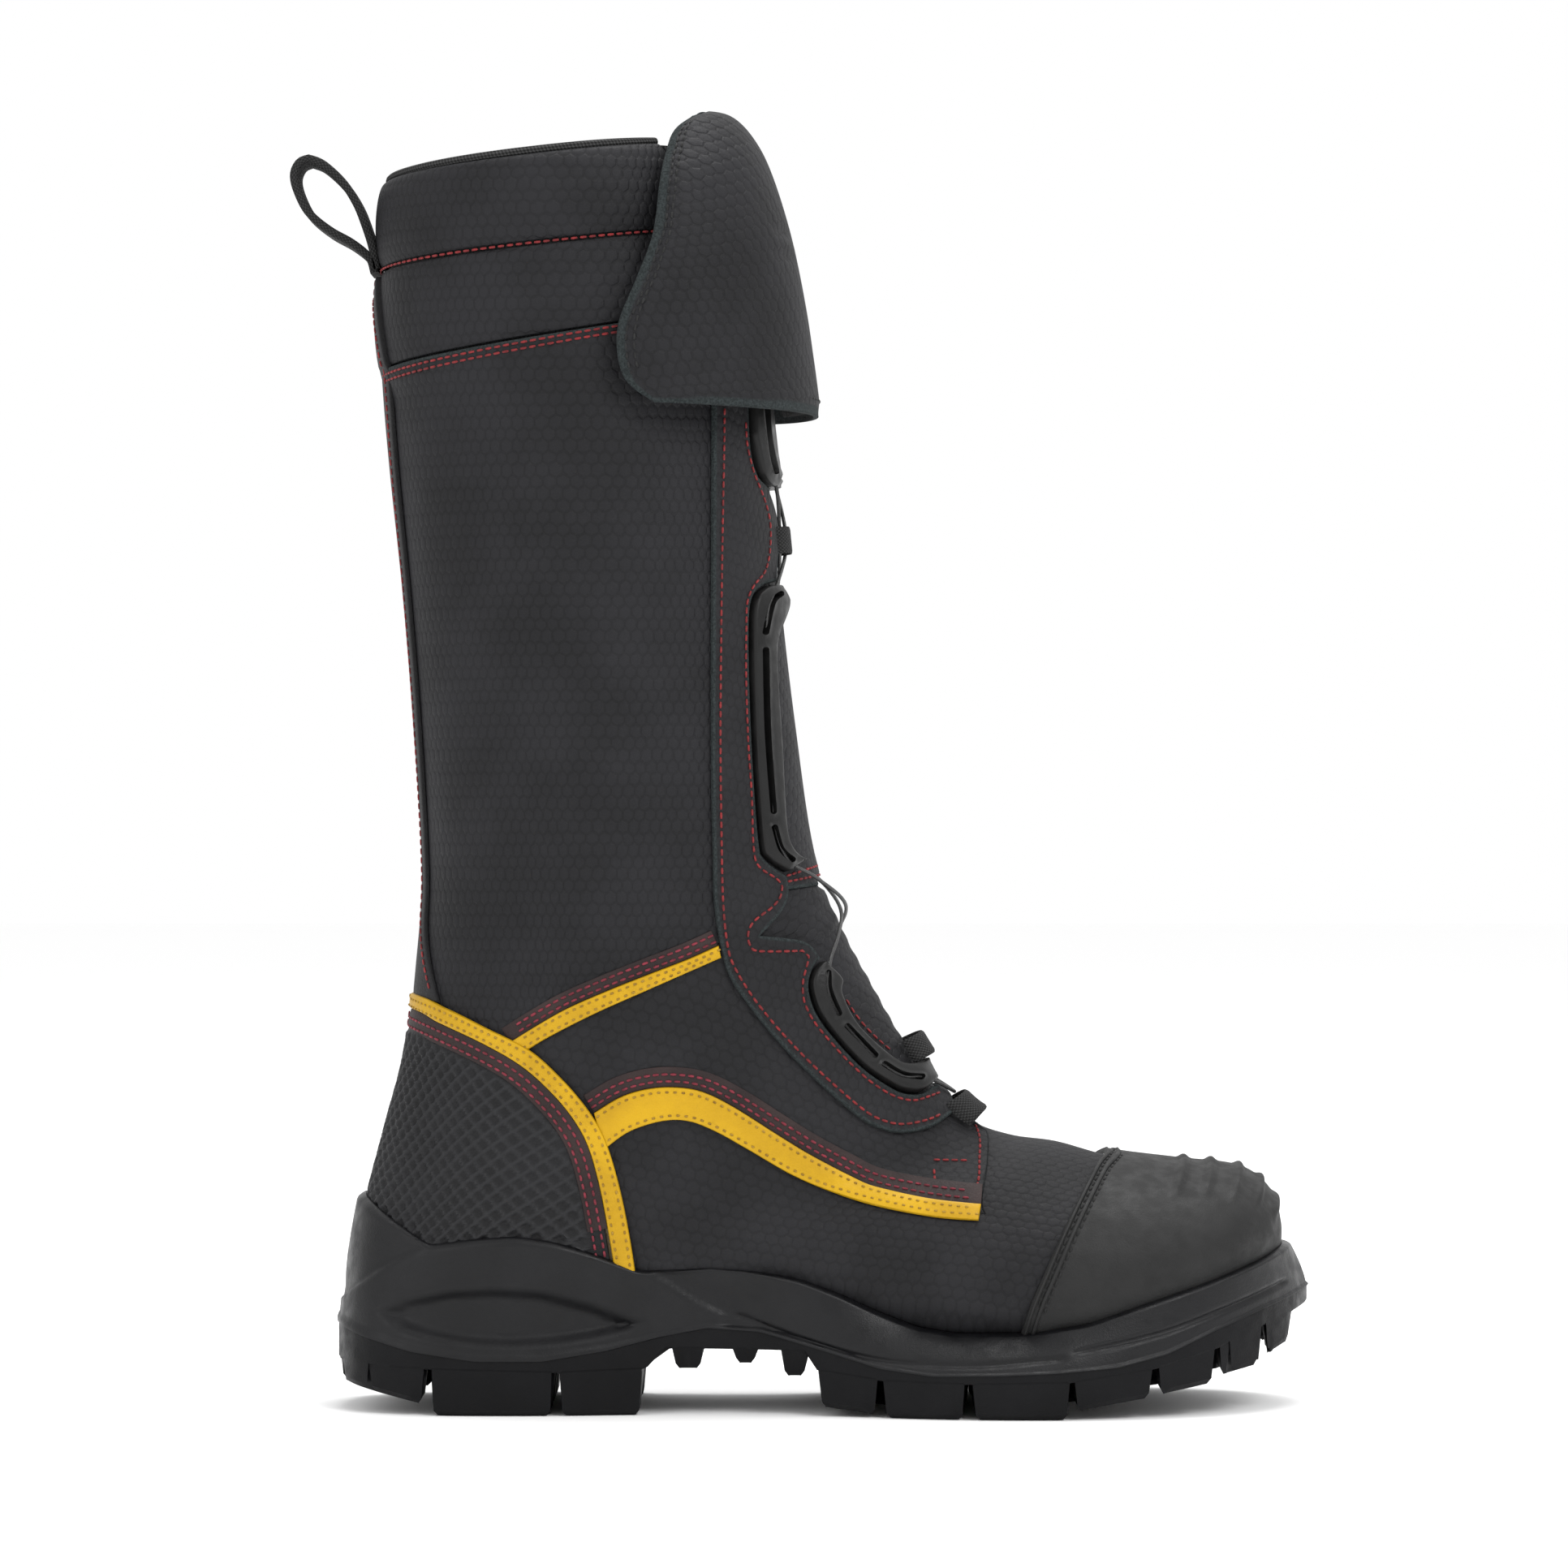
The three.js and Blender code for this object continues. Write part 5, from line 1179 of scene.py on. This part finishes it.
def swell(piece, held, pressure, cap):
    """Blows a closed piece up with cloth pressure; held points stay, and none moves further than the cap."""
    scene = bpy.context.scene
    group = piece.vertex_groups.new(name="held")
    group.add(held, 1.0, "REPLACE")
    cloth = piece.modifiers.new("cloth", "CLOTH")
    settings = cloth.settings
    settings.vertex_group_mass = "held"
    settings.use_pressure = True
    settings.uniform_pressure_force = pressure
    settings.effector_weights.gravity = 0
    settings.tension_stiffness = settings.compression_stiffness = 12
    settings.bending_stiffness = 0.5
    before = np.empty(len(piece.data.vertices) * 3)
    piece.data.vertices.foreach_get("co", before)
    for number in range(1, SWELL_FRAMES + 1):
        scene.frame_set(number)
    evaluated = piece.evaluated_get(bpy.context.evaluated_depsgraph_get())
    after = np.empty_like(before)
    evaluated.data.vertices.foreach_get("co", after)
    piece.modifiers.clear()
    piece.vertex_groups.clear()
    scene.frame_set(1)
    move = (after - before).reshape(-1, 3)
    length = np.linalg.norm(move, axis=1, keepdims=True)
    move *= np.minimum(1, cap * MM / np.maximum(length, 1e-9))
    piece.data.vertices.foreach_set("co", before + move.ravel())
    piece.data.update()


def make_collar():
    make_pad("collar_pad_upper_leather", 0, 1, UPPER_PAD_CROWN, ["collar_pad_upper"])
    make_pad("collar_pad_lower_leather", 1, 2, LOWER_PAD_CROWN, ["collar_pad_lower"])
    count = 260
    angle = np.linspace(PAD_FRONT_ANGLE, 2 * PI - PAD_FRONT_ANGLE, count)
    rim = lifted(np.zeros(count), angle, np.full(count, -1.3)) + [0, 0, 0.75]
    points, faces, pattern = swept(rim, *frames_along(rim, [0, 0, 1]), circle(BINDING_RADIUS, 12))
    make("collar_binding_knit", points, faces, BINDING_KNIT, "boot", "lining_cloth", ["collar_binding"], 60,
         pattern=pattern)


def make_lining():
    """The bootie inside, from the collar to the toe."""
    rows = np.concatenate([np.arange(0, 18, 0.25), [18.4, 18.8, 19]])
    columns = 96
    section, angle = np.meshgrid(rows, np.arange(columns) * 2 * PI / columns, indexing="ij")
    inner, outer = (lifted(section, angle, np.full_like(section, height)) for height in LINING)
    rings = np.concatenate([inner[::-1], outer]).reshape(-1, 3)
    points, faces, pattern = capped(rings, 2 * len(rows), columns, pattern_place(rings, "shaft"))
    make("lining_bootie_cloth", points, faces, LINING_CLOTH, "boot", "lining_cloth", ["lining_bootie"], 60,
         pattern=pattern)


# ---------------------------------------------------------------- Guides, wire and dial
def capsule(line, radius):
    """The closed outline of everything within a radius of a line."""
    path = rounded(line, 0.5)
    left = offset_line(path, radius)
    right = offset_line(path, -radius)[::-1]
    caps = []
    for centre, start in ((path[-1], left[-1]), (path[0], right[-1])):
        first = math.atan2(start[1] - centre[1], start[0] - centre[0])
        turns = first - np.linspace(0, PI, 9)[1:-1]
        caps.append(centre + radius * np.stack([np.cos(turns), np.sin(turns)], axis=1))
    return np.vstack([left, caps[0], right, caps[1]])


def make_guides():
    """Moulded guides with the wire lying in slots that have raised lips."""
    outlines = {"upper_guide": UPPER_GUIDE, "shin_guide": SHIN_GUIDE, "instep_guide": INSTEP_GUIDE}
    for kind, outline in outlines.items():
        slots = GUIDE_SLOTS[kind]

        def height(point):
            side = point[:, [0, 2]]
            gap = np.min([line_distance(side, rounded(slot, 0.5)) for slot in slots], axis=0)
            crown = 0.5 * smoothstep(0, 3.2, line_distance(side, outline, closed=True))
            lip = 0.45 * (1 - smoothstep(1.0, 1.7, gap))
            return np.where(gap < sum(SLOT_WALL) / 2 - 0.01, -SLOT_DEPTH, crown + lip)

        for side, sign in BOTH_SIDES.items():
            loops = [place_on_skin(capsule(slot, radius)) * [1, sign]
                     for slot in slots for radius in SLOT_WALL]
            panel(f"{kind}_moulded_{side}", on_side(outline, sign, step=0.9), GUIDE, BLACK_PLASTIC,
                  "black_plastic", spacing=0.9, rounding=0.9, height=height, loops=loops,
                  replaces=[f"{kind}_{side}"], sharp=42)


def wire_point(place):
    x, z, side, lift = place
    section, angle = place_on_skin([(x, z)])[0]
    return lifted(np.array([section]), np.array([0.0 if side == 0 else side * angle]), np.array([lift]))[0]


def centripetal(points, per_run):
    """A smooth curve through points, with knots spaced by the square root of their distances."""
    points = np.vstack([2 * points[0] - points[1], points, 2 * points[-1] - points[-2]])
    out = []
    for k in range(1, len(points) - 2):
        p0, p1, p2, p3 = points[k - 1:k + 3]
        t1 = np.linalg.norm(p1 - p0) ** 0.5
        t2 = t1 + np.linalg.norm(p2 - p1) ** 0.5
        t3 = t2 + np.linalg.norm(p3 - p2) ** 0.5
        t = np.linspace(t1, t2, per_run, endpoint=False)[:, None]
        a1 = (t1 - t) / t1 * p0 + t / t1 * p1
        a2 = (t2 - t) / (t2 - t1) * p1 + (t - t1) / (t2 - t1) * p2
        a3 = (t3 - t) / (t3 - t2) * p2 + (t - t2) / (t3 - t2) * p3
        b1 = (t2 - t) / t2 * a1 + t / t2 * a2
        b2 = (t3 - t) / (t3 - t1) * a2 + (t - t1) / (t3 - t1) * a3
        out.append((t2 - t) / (t2 - t1) * b1 + (t - t1) / (t2 - t1) * b2)
    return np.vstack(out + [points[-2:-1]])


def make_wire():
    down = [wire_point(place) for place in WIRE_DOWN]
    up = [wire_point((x, z, -side, WIRE_CROSSOVER_LIFT if side == 0 else lift))
          for x, z, side, lift in WIRE_DOWN[::-1]]
    path = centripetal(np.array([*down, wire_point(WIRE_TOE), *up]), 9)
    points, faces, pattern = swept(path, *frames_along(path, [0.35, 0.2, 0.9]), circle(WIRE_RADIUS, 10))
    make("lace_wire_strand", points, faces, WIRE_STEEL, "boot", "steel", ["lace_wire"], 60, pattern=pattern)


def dial_seat():
    """The dial's centre and its own across, up and outward directions."""
    centre, _, _, normal = skin_frame(np.array([DIAL_LEVEL]), np.array([0.0]))
    outward = normal[0]
    across = np.array([0.0, 1.0, 0.0])
    return centre[0], across, np.cross(outward, across), outward


def lathe(name, profile, body, replaces, ribbed=False):
    """A turned piece about the dial's axis, as a closed ring of (radius, height), ribbed round its rim."""
    centre, across, up, outward = dial_seat()
    turns = np.arange(DIAL_COLUMNS) * 2 * PI / DIAL_COLUMNS
    spokes = np.cos(turns)[:, None] * across + np.sin(turns)[:, None] * up
    rings = []
    for radius, height in profile:
        reach = np.full((DIAL_COLUMNS, 1), float(radius))
        if ribbed and radius > DIAL_RIB_FROM:
            reach -= DIAL_RIB_DEPTH * (0.5 + 0.5 * np.cos(turns * DIAL_RIBS))[:, None] ** 2
        rings.append(centre + reach * spokes + height * outward)
    rows = len(profile) + 1
    faces = np.array(grid_faces(rows, DIAL_COLUMNS, wrap=True)) % ((rows - 1) * DIAL_COLUMNS)
    pattern = np.stack([np.tile(turns * 10, rows - 1), np.repeat(np.arange(rows - 1), DIAL_COLUMNS)], axis=1)
    make(name, np.vstack(rings), faces.tolist(), BLACK_PLASTIC, body, "black_plastic", replaces, 34,
         pattern=pattern)


def make_dial():
    lathe("dial_base_moulded", DIAL_BASE, "boot", ["dial_base"])
    lathe("dial_knob_ribbed", DIAL_KNOB, "dial_cap", ["dial_knob"], ribbed=True)


def make_keepers():
    for name, (section, along, half_width, height, thickness) in KEEPERS.items():
        rows, columns = 17, 49
        across = np.linspace(1, -1, columns)
        down = np.linspace(-1, 1, rows)
        places, turns = np.meshgrid(section + along * down, -across * half_width, indexing="ij")
        rise = height * np.maximum(1 - across ** 4, 0) + thickness
        middle = lifted(places, turns, np.tile(rise, (rows, 1)))
        sheet(f"{name}_webbing", middle, thickness, WEBBING, "boot", slot="webbing", replaces=[name])


def make_loop():
    flat = rounded(LOOP_PATH, 1.2)
    path = np.insert(flat, 1, 0.0, axis=1)
    width, half = LOOP_HALF_WIDTH, LOOP_HALF_THICKNESS
    section = [(width - 0.5, -half), (width, 0.5 - half), (width, half - 0.5), (width - 0.5, half)]
    section += [(x, half) for x in np.linspace(width - 2, 2 - width, 12)]
    section += [(-across, -up) for across, up in section]
    across = np.tile([0.0, 1.0, 0.0], (len(path), 1))
    normal = unit(np.cross(across, np.gradient(path, axis=0)))
    points, faces, pattern = swept(path, across, normal, section)
    make("pull_loop_webbing", points, faces, WEBBING, "loop", "webbing", ["pull_loop"], 50, pattern=pattern)


# ---------------------------------------------------------------- Sole
def height_on(line, x):
    line = np.array(line)
    return np.interp(x, line[:, 0], line[:, 1])


def inside_skin(points):
    """Which points lie inside the nominal skin."""
    side = points[:, [0, 2]]
    section, angle = place_on_skin(side).T
    share = share_back(side, section)
    shift = read_table(SECTIONS, section)[:, 7]
    closer = np.abs(points[:, 1] - shift) < np.abs(skin(section, angle)[:, 1] - shift)
    return closer & (share > 0) & (share < 1) & (section < TOE_END - 0.05)


def sole_ring():
    ring = rounded(SOLE_OUTLINE, 1.9, closed=True)
    if loop_area(ring) < 0:
        ring = ring[::-1]
    along = unit(np.roll(ring, -1, axis=0) - np.roll(ring, 1, axis=0))
    return ring, np.stack([along[:, 1], -along[:, 0]], axis=1)


def wrap_smooth(values, width):
    kernel = np.ones(width) / width
    padded = np.concatenate([values[-width:], values, values[:width]])
    return np.convolve(padded, kernel, mode="same")[width:-width]


def sidewall_relief(x, z):
    """How far the sidewall stands out or in at a place seen from the side."""
    side = np.stack([x, z], axis=1)
    leaf = line_distance(side, HEEL_LEAF, closed=True) * np.where(contains(side, HEEL_LEAF), 1, -1)
    relief = -LEAF_DEPTH * smoothstep(-0.6, 4.5, leaf)
    crease = line_distance(side, WING_CREASE)
    above = z > height_on([(-5, 30), *WING_CREASE, (60, 70)], x)
    fall = np.exp(-np.maximum(crease - 0.2, 0) / 4.5) * smoothstep(0, 1.6, crease)
    relief -= WING_CREASE_DEPTH * fall * above
    end = line_distance(side, WING_END)
    ahead = x > np.interp(z, *np.array(WING_END[::-1]).T[::-1])
    fall = np.exp(-(end / 9) ** 2) * smoothstep(0, 3, end)
    relief -= WING_END_DEPTH * np.where(ahead & (x < 150), fall, 0)
    for groove in SOLE_GROOVES:
        relief -= GROOVE_DEPTH * np.exp(-(line_distance(side, rounded(groove, 3)) / 0.9) ** 2)
    return relief


def sidewall_insets(ring, outward):
    """How far inside the sole's outline the sidewall's top edge lies, to meet what covers the skin."""
    contact = np.full(len(ring), SIDEWALL_REACH)
    for reach in np.arange(SIDEWALL_REACH, 0.2, -0.2):
        place = ring - outward * reach
        trial = np.column_stack([place, height_on(SOLE_TOP_LINE, place[:, 0]) + 0.6])
        contact = np.where(inside_skin(trial), reach, contact)
    x = ring[:, 0]
    covering = TOE_COVERING * smoothstep(215, 235, x) + COUNTER_COVERING * (1 - smoothstep(80, 95, x))
    return np.clip(wrap_smooth(contact, 7) - covering - SIDEWALL_THICKNESS, *SIDEWALL_INSET)


def make_midsole():
    ring, outward = sole_ring()
    foot = height_on(PARTING_LINE, ring[:, 0]) + 0.05
    insets = sidewall_insets(ring, outward)
    top = wrap_smooth(height_on(SOLE_TOP_LINE, (ring - outward * insets[:, None])[:, 0]), 3)
    rings = []
    for share in np.linspace(0, 1, SIDEWALL_ROWS):
        z = foot + (top - foot) * share
        lean = 1.0 + (insets - 1.9) * share ** 1.4
        lean += 1.3 * smoothstep(0.955, 1, share) ** 2 - 0.7 * (1 - smoothstep(0.03, 0.07, share))
        x = ring[:, 0] - outward[:, 0] * lean
        relief = sidewall_relief(x, z) * smoothstep(0, 0.1, share) * (1 - smoothstep(0.93, 1, share))
        rings.append(np.column_stack([ring - outward * (lean - relief)[:, None], z]))
    for inner, lift in SIDEWALL_LIP:
        plan = ring - outward * (insets + inner)[:, None]
        rings.append(np.column_stack([plan, np.maximum(top + lift, foot + 0.4)]))
    deep = ring - outward * (insets + 7)[:, None]
    rings.append(np.column_stack([deep, np.maximum(np.minimum(top - 9, foot + 9), foot + 0.5)]))
    points = np.vstack(rings)
    points, faces, pattern = capped(points, len(rings), len(ring), points[:, [0, 2]])
    make("midsole_moulded", points, faces, SOLE_RUBBER, "boot", "sole_rubber", ["midsole"], 50,
         pattern=pattern)


def outline_reach(ring, x, sign):
    """The sole outline's y on one side at each x."""
    half = ring[ring[:, 1] * sign > 0]
    order = np.argsort(half[:, 0])
    return np.interp(x, half[order, 0], half[order, 1])


def lug_loops(corners):
    """Outline of a lug at its root, below its chamfer and at its tread, from its corners."""
    loop = rounded(corners, 2.2, closed=True)
    if loop_area(loop) < 0:
        loop = loop[::-1]
    return [offset_line(loop, -1.2, closed=True), loop, offset_line(loop, LUG_CHAMFER, closed=True)]


def along_lug(lug, x):
    """A lug's bottom height at each x."""
    _, first, last, start_z, end_z = lug
    return start_z + (end_z - start_z) * np.clip((x - first) / (last - first), 0, 1)


def all_lugs(ring):
    """Corners, first x, last x and both bottom heights of each lug."""
    lugs = []
    for first, last, start_z, end_z in EDGE_LUGS:
        at_heel = first < ARCH_START
        lean = 1.05 if at_heel else -0.9
        for sign in (1, -1):
            x = np.linspace(first, last, max(int((last - first) / 3), 3))
            outer = outline_reach(ring, x, sign) - sign * EDGE_LUG_GAP
            inner = outer * (0.46 if at_heel else 0.42)
            corners = [*zip(x, outer), (last - 1 + lean, inner[-1]), (first + 1 + lean, inner[0])]
            lugs.append((corners, first, last, start_z, end_z))
    for first, last, start_z, end_z in MIDDLE_LUGS:
        middle = (first + last) / 2
        reach = 0.36 * min(abs(outline_reach(ring, middle, sign)) for sign in (1, -1)) - 2.2
        shift = 4 * smoothstep(240, 290, middle)
        corners = [(first, shift - reach * 0.6), (middle, shift - reach), (last, shift - reach * 0.6),
                   (last, shift + reach * 0.6), (middle, shift + reach), (first, shift + reach * 0.6)]
        lugs.append((corners, first, last, start_z, end_z))
    for first, last, bottom in ARCH_BARS:
        low, high = (outline_reach(ring, first, sign) - sign * ARCH_BAR_GAP for sign in (-1, 1))
        lugs.append(([(first, low), (last, low), (last, high), (first, high)], first, last, bottom, bottom))
    return lugs


def make_outsole():
    """The tread: lugs stand on a floor inside the sole's outline, over a plate that ends at a lip."""
    ring, outward = sole_ring()
    loops = [ring - outward * 0.8, ring - outward * 1.2]
    known = [np.full(len(ring), np.nan)] * 2
    lugs = all_lugs(ring)
    for lug in lugs:
        root, shoulder, tread = lug_loops(lug[0])
        loops += [root, shoulder, tread]
        known += [np.full(len(root), np.nan), along_lug(lug, shoulder[:, 0]) + LUG_CHAMFER,
                  along_lug(lug, tread[:, 0])]
    flat, triangles, first_index = flat_mesh(loops, 0.6, 9.0)
    known = np.concatenate(known)
    marked = (first_index >= 0) & (first_index < len(known))
    values = np.where(marked, known[np.clip(first_index, 0, len(known) - 1)], np.nan)
    for lug in lugs:
        inside = contains(flat, lug_loops(lug[0])[2]) & np.isnan(values)
        values = np.where(inside, along_lug(lug, flat[:, 0]), values)
    bottom = np.where(np.isnan(values), height_on(FLOOR_LINE, flat[:, 0]), values)
    top = height_on(PARTING_LINE, flat[:, 0])
    rim = (first_index >= 0) & (first_index < len(ring))
    bottom = np.maximum(np.where(rim, np.minimum(bottom + 0.6, top - 1.2), bottom), 0)
    outer = np.column_stack([flat, np.minimum(bottom, top - 0.8)])
    points, faces = two_faced(outer, np.column_stack([flat, top]), triangles)
    make("outsole_lugged", points, faces, TREAD_RUBBER, "boot", "sole_rubber", ["outsole"], 30,
         pattern=points[:, :2])


# ---------------------------------------------------------------- Stitches
def dashes(paths, pitch, length, half_width, height):
    """Short stitches laid along paths of (points, normals)."""
    turns = np.arange(STITCH_SIDES) * 2 * PI / STITCH_SIDES
    across = half_width * STITCH_RINGS[:, None, None] * np.cos(turns)[:, None]
    up = height * STITCH_RINGS[:, None, None] * np.sin(turns)[:, None]
    blocks, faces = [], []
    start = 0
    for points, normals in paths:
        run = lengths_along(points)
        for k in range(max(int((run[-1] - length) / pitch), 1)):
            places = length / 2 + k * pitch + length * STITCH_STATIONS
            centres = values_at(places, run, points)
            normal = unit(values_at(places, run, normals))
            side = unit(np.cross(normal, unit(centres[-1] - centres[0])))
            rings = centres[1:4, None] + across * side[1:4, None] + up * normal[1:4, None]
            tips = centres[[0, -1]] - STITCH_SINK * normal[[0, -1]]
            blocks.append(np.vstack([tips[:1], rings.reshape(-1, 3), tips[1:]]))
            faces += grid_faces(3, STITCH_SIDES, wrap=True, start=start + 1)
            end = start + len(blocks[-1]) - 1
            for s in range(STITCH_SIDES):
                t = (s + 1) % STITCH_SIDES
                faces.append([start, start + 1 + t, start + 1 + s])
                faces.append([end, end - STITCH_SIDES + s, end - STITCH_SIDES + t])
            start = end + 1
    return np.vstack(blocks), faces


def skin_path(line, sign, lift):
    """A line seen from the side, laid on one side of the skin at a height."""
    place = place_on_skin(rounded(line, 1.2))
    point, _, _, normal = skin_frame(place[:, 0], place[:, 1] * sign)
    lift = lift(point) if callable(lift) else lift
    return point + normal * np.asarray(lift, float).reshape(-1, 1), normal


def on_both(line, lift):
    return [skin_path(line, sign, lift) for sign in (1, -1)]


def row_beside(line, distance, lift):
    return on_both(offset_line(line, distance), lift)


def make_stitches():
    angle = np.linspace(PAD_FRONT_ANGLE, 2 * PI - PAD_FRONT_ANGLE, 400)
    point, _, _, normal = skin_frame(np.ones(400), angle)
    red = [(point + normal * 0.75, normal)]
    arcs = [np.array(TONGUE_ARC) - shift for shift in (0, TONGUE_ARC_GAP)]
    strip = [offset_line(BACK_STRIP_EDGE, -1.3)]
    for lines, lift in ((SHAFT_TOP_ROWS, lambda p: 0.15 + shaft_edge_lift(p)), (FACING_ROWS, 2.05),
                        (TONGUE_HEM_ROWS, 0.25), (arcs, -0.15), (VAMP_ROWS, 0.15),
                        (strip, lambda p: 1.65 + strip_lift(p))):
        for line in lines:
            red += on_both(line, lift)
    maroon = row_beside(HEEL_TRIM_INNER[-2::-1], -2.3, 2.15) + row_beside(HEEL_TRIM_INNER[-2::-1], -5.0, 2.15)
    for distance in (1.4, 3.6):
        maroon += row_beside(ANKLE_TRIM_UPPER, -distance, 0.6)
        maroon += row_beside(SIDE_TRIM_UPPER, distance + 0.4, 0.6)
    tan = row_beside(HEEL_TRIM_OUTER[1:], -1.3, 2.5) + row_beside(HEEL_TRIM_INNER[:-1], -1.3, 2.5)
    tan += row_beside(ANKLE_TRIM_UPPER, 1.2, 1.7) + row_beside(ANKLE_TRIM_LOWER, 1.2, 1.7)
    tan += row_beside(SIDE_TRIM_UPPER, -1.5, 1.7) + row_beside(SIDE_TRIM_LOWER, -1.5, 1.7)
    guard = [row for channel in GUARD_CHANNELS for row in row_beside(TOE_GUARD_REAR[1:-1], channel, 2.4)]
    for kind, paths, material, body, slot in (
            ("red", red, RED_THREAD, "boot", "webbing"),
            ("maroon", maroon, MAROON_THREAD, "boot", "leather_counter"),
            ("tan", tan, TAN_THREAD, "boot", "leather_yellow"),
            ("guard", guard, BLACK_THREAD, "boot", "guard_rubber"),
            ("flap", flap_rows(), BLACK_THREAD, "flap", "leather_black")):
        points, faces = dashes(paths, *STITCH_SIZES[kind])
        make(f"stitches_{kind}", points, faces, material, body, slot, sharp=80)


def flap_rows():
    """Two rows of stitches inside the flap's edge, down one side, along the hem and up the other."""
    half = 90
    place, turn = np.meshgrid(np.linspace(0.6, FLAP_LAST, 90), np.linspace(PI / 2, -PI / 2, 2 * half + 1),
                              indexing="ij")
    middle = flap_surface(place, turn)
    normal = sheet_normals(middle)
    gap = border_gap(middle)
    lift = FLAP_THICKNESS / 2 + flap_bulge(middle, place) + 0.1
    raised = middle + normal * lift[..., None]
    paths = []
    for distance in FLAP_STITCH_GAPS:
        hem_row = int(np.argmin(np.abs(gap[:, half] - distance)))
        near = np.argmin(np.abs(gap[:hem_row + 1, :half] - distance), axis=1)
        hem = np.arange(near[-1] + 1, 2 * half - near[-1])
        down = np.arange(hem_row + 1)
        rows = np.concatenate([down, np.full(len(hem), hem_row), down[::-1]])
        columns = np.concatenate([near, hem, 2 * half - near[::-1]])
        paths.append((smooth_path(raised[rows, columns]), normal[rows, columns]))
    return paths


def smooth_path(points, rounds=6):
    for _ in range(rounds):
        points[1:-1] = (points[:-2] + 2 * points[1:-1] + points[2:]) / 4
    return points


# ---------------------------------------------------------------- Scene
def finish_hidden_nodes():
    """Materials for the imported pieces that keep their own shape."""
    looks = {"insole_board": FIBRE_BOARD, "footbed": FOAM, "puncture_plate": FIBRE_BOARD,
             "heel_stiffener": FIBRE_BOARD, "shank": STEEL, "toe_cap_insert": STEEL,
             "dial_spool": BLACK_PLASTIC, "dial_spring": STEEL, "dial_screw": STEEL}
    for node, material in looks.items():
        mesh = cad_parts[node].data
        mesh.materials.clear()
        mesh.materials.append(material)


def stage_material():
    graph = Graph("stage_pale")
    shader = graph.add("BsdfPrincipled", {"Base Color": (0.985, 0.985, 0.985, 1), "Roughness": 0.9,
                                          "Specular IOR Level": 0.1})
    graph.end(shader)
    return graph.material


def add_light(name, place, aim, size, power):
    data = bpy.data.lights.new(name, "AREA")
    data.size = size
    data.energy = power
    light = bpy.data.objects.new(name, data)
    light.location = place
    light.rotation_euler = (Vector(aim) - Vector(place)).to_track_quat("-Z", "Y").to_euler()
    bpy.context.scene.collection.objects.link(light)


def make_stage():
    bpy.ops.mesh.primitive_plane_add(size=14, location=(0, 0, -0.0002))
    floor = bpy.context.object
    floor.name = "floor"
    floor.data.materials.append(stage_material())
    world = bpy.data.worlds.new("studio")
    world.use_nodes = True
    world.node_tree.nodes["Background"].inputs["Color"].default_value = (1, 1, 1, 1)
    world.node_tree.nodes["Background"].inputs["Strength"].default_value = 1.0
    bpy.context.scene.world = world
    bpy.context.scene.view_settings.view_transform = "Standard"
    add_light("key", (0.9, -1.3, 1.5), (0, 0, 0.2), 0.9, 17)
    add_light("fill", (-1.2, -1.2, 0.9), (0, 0, 0.2), 1.2, 5)
    add_light("top", (0.1, 0.3, 1.8), (0, 0, 0.2), 1.0, 20)


def make_camera():
    """A level, distant view square to the boot's outer side."""
    data = bpy.data.cameras.new("camera")
    data.sensor_width = 36
    data.lens = data.sensor_width * VIEW_DISTANCE / VIEW_WIDTH
    data.clip_end = 50
    camera = bpy.data.objects.new("camera", data)
    camera.location = (VIEW_CENTRE[0] * MM + HEEL_X, -VIEW_DISTANCE - FACE_DEPTH, VIEW_CENTRE[1] * MM)
    camera.rotation_euler = (PI / 2, 0, 0)
    bpy.context.scene.collection.objects.link(camera)
    bpy.context.scene.camera = camera


make_camera()
make_stage()
make_lining()
make_upper()
make_toe_guard()
make_tongue()
make_collar()
make_flap()
make_guides()
make_wire()
make_dial()
make_keepers()
make_loop()
make_midsole()
make_outsole()
make_stitches()
finish_hidden_nodes()
bpy.context.view_layer.update()
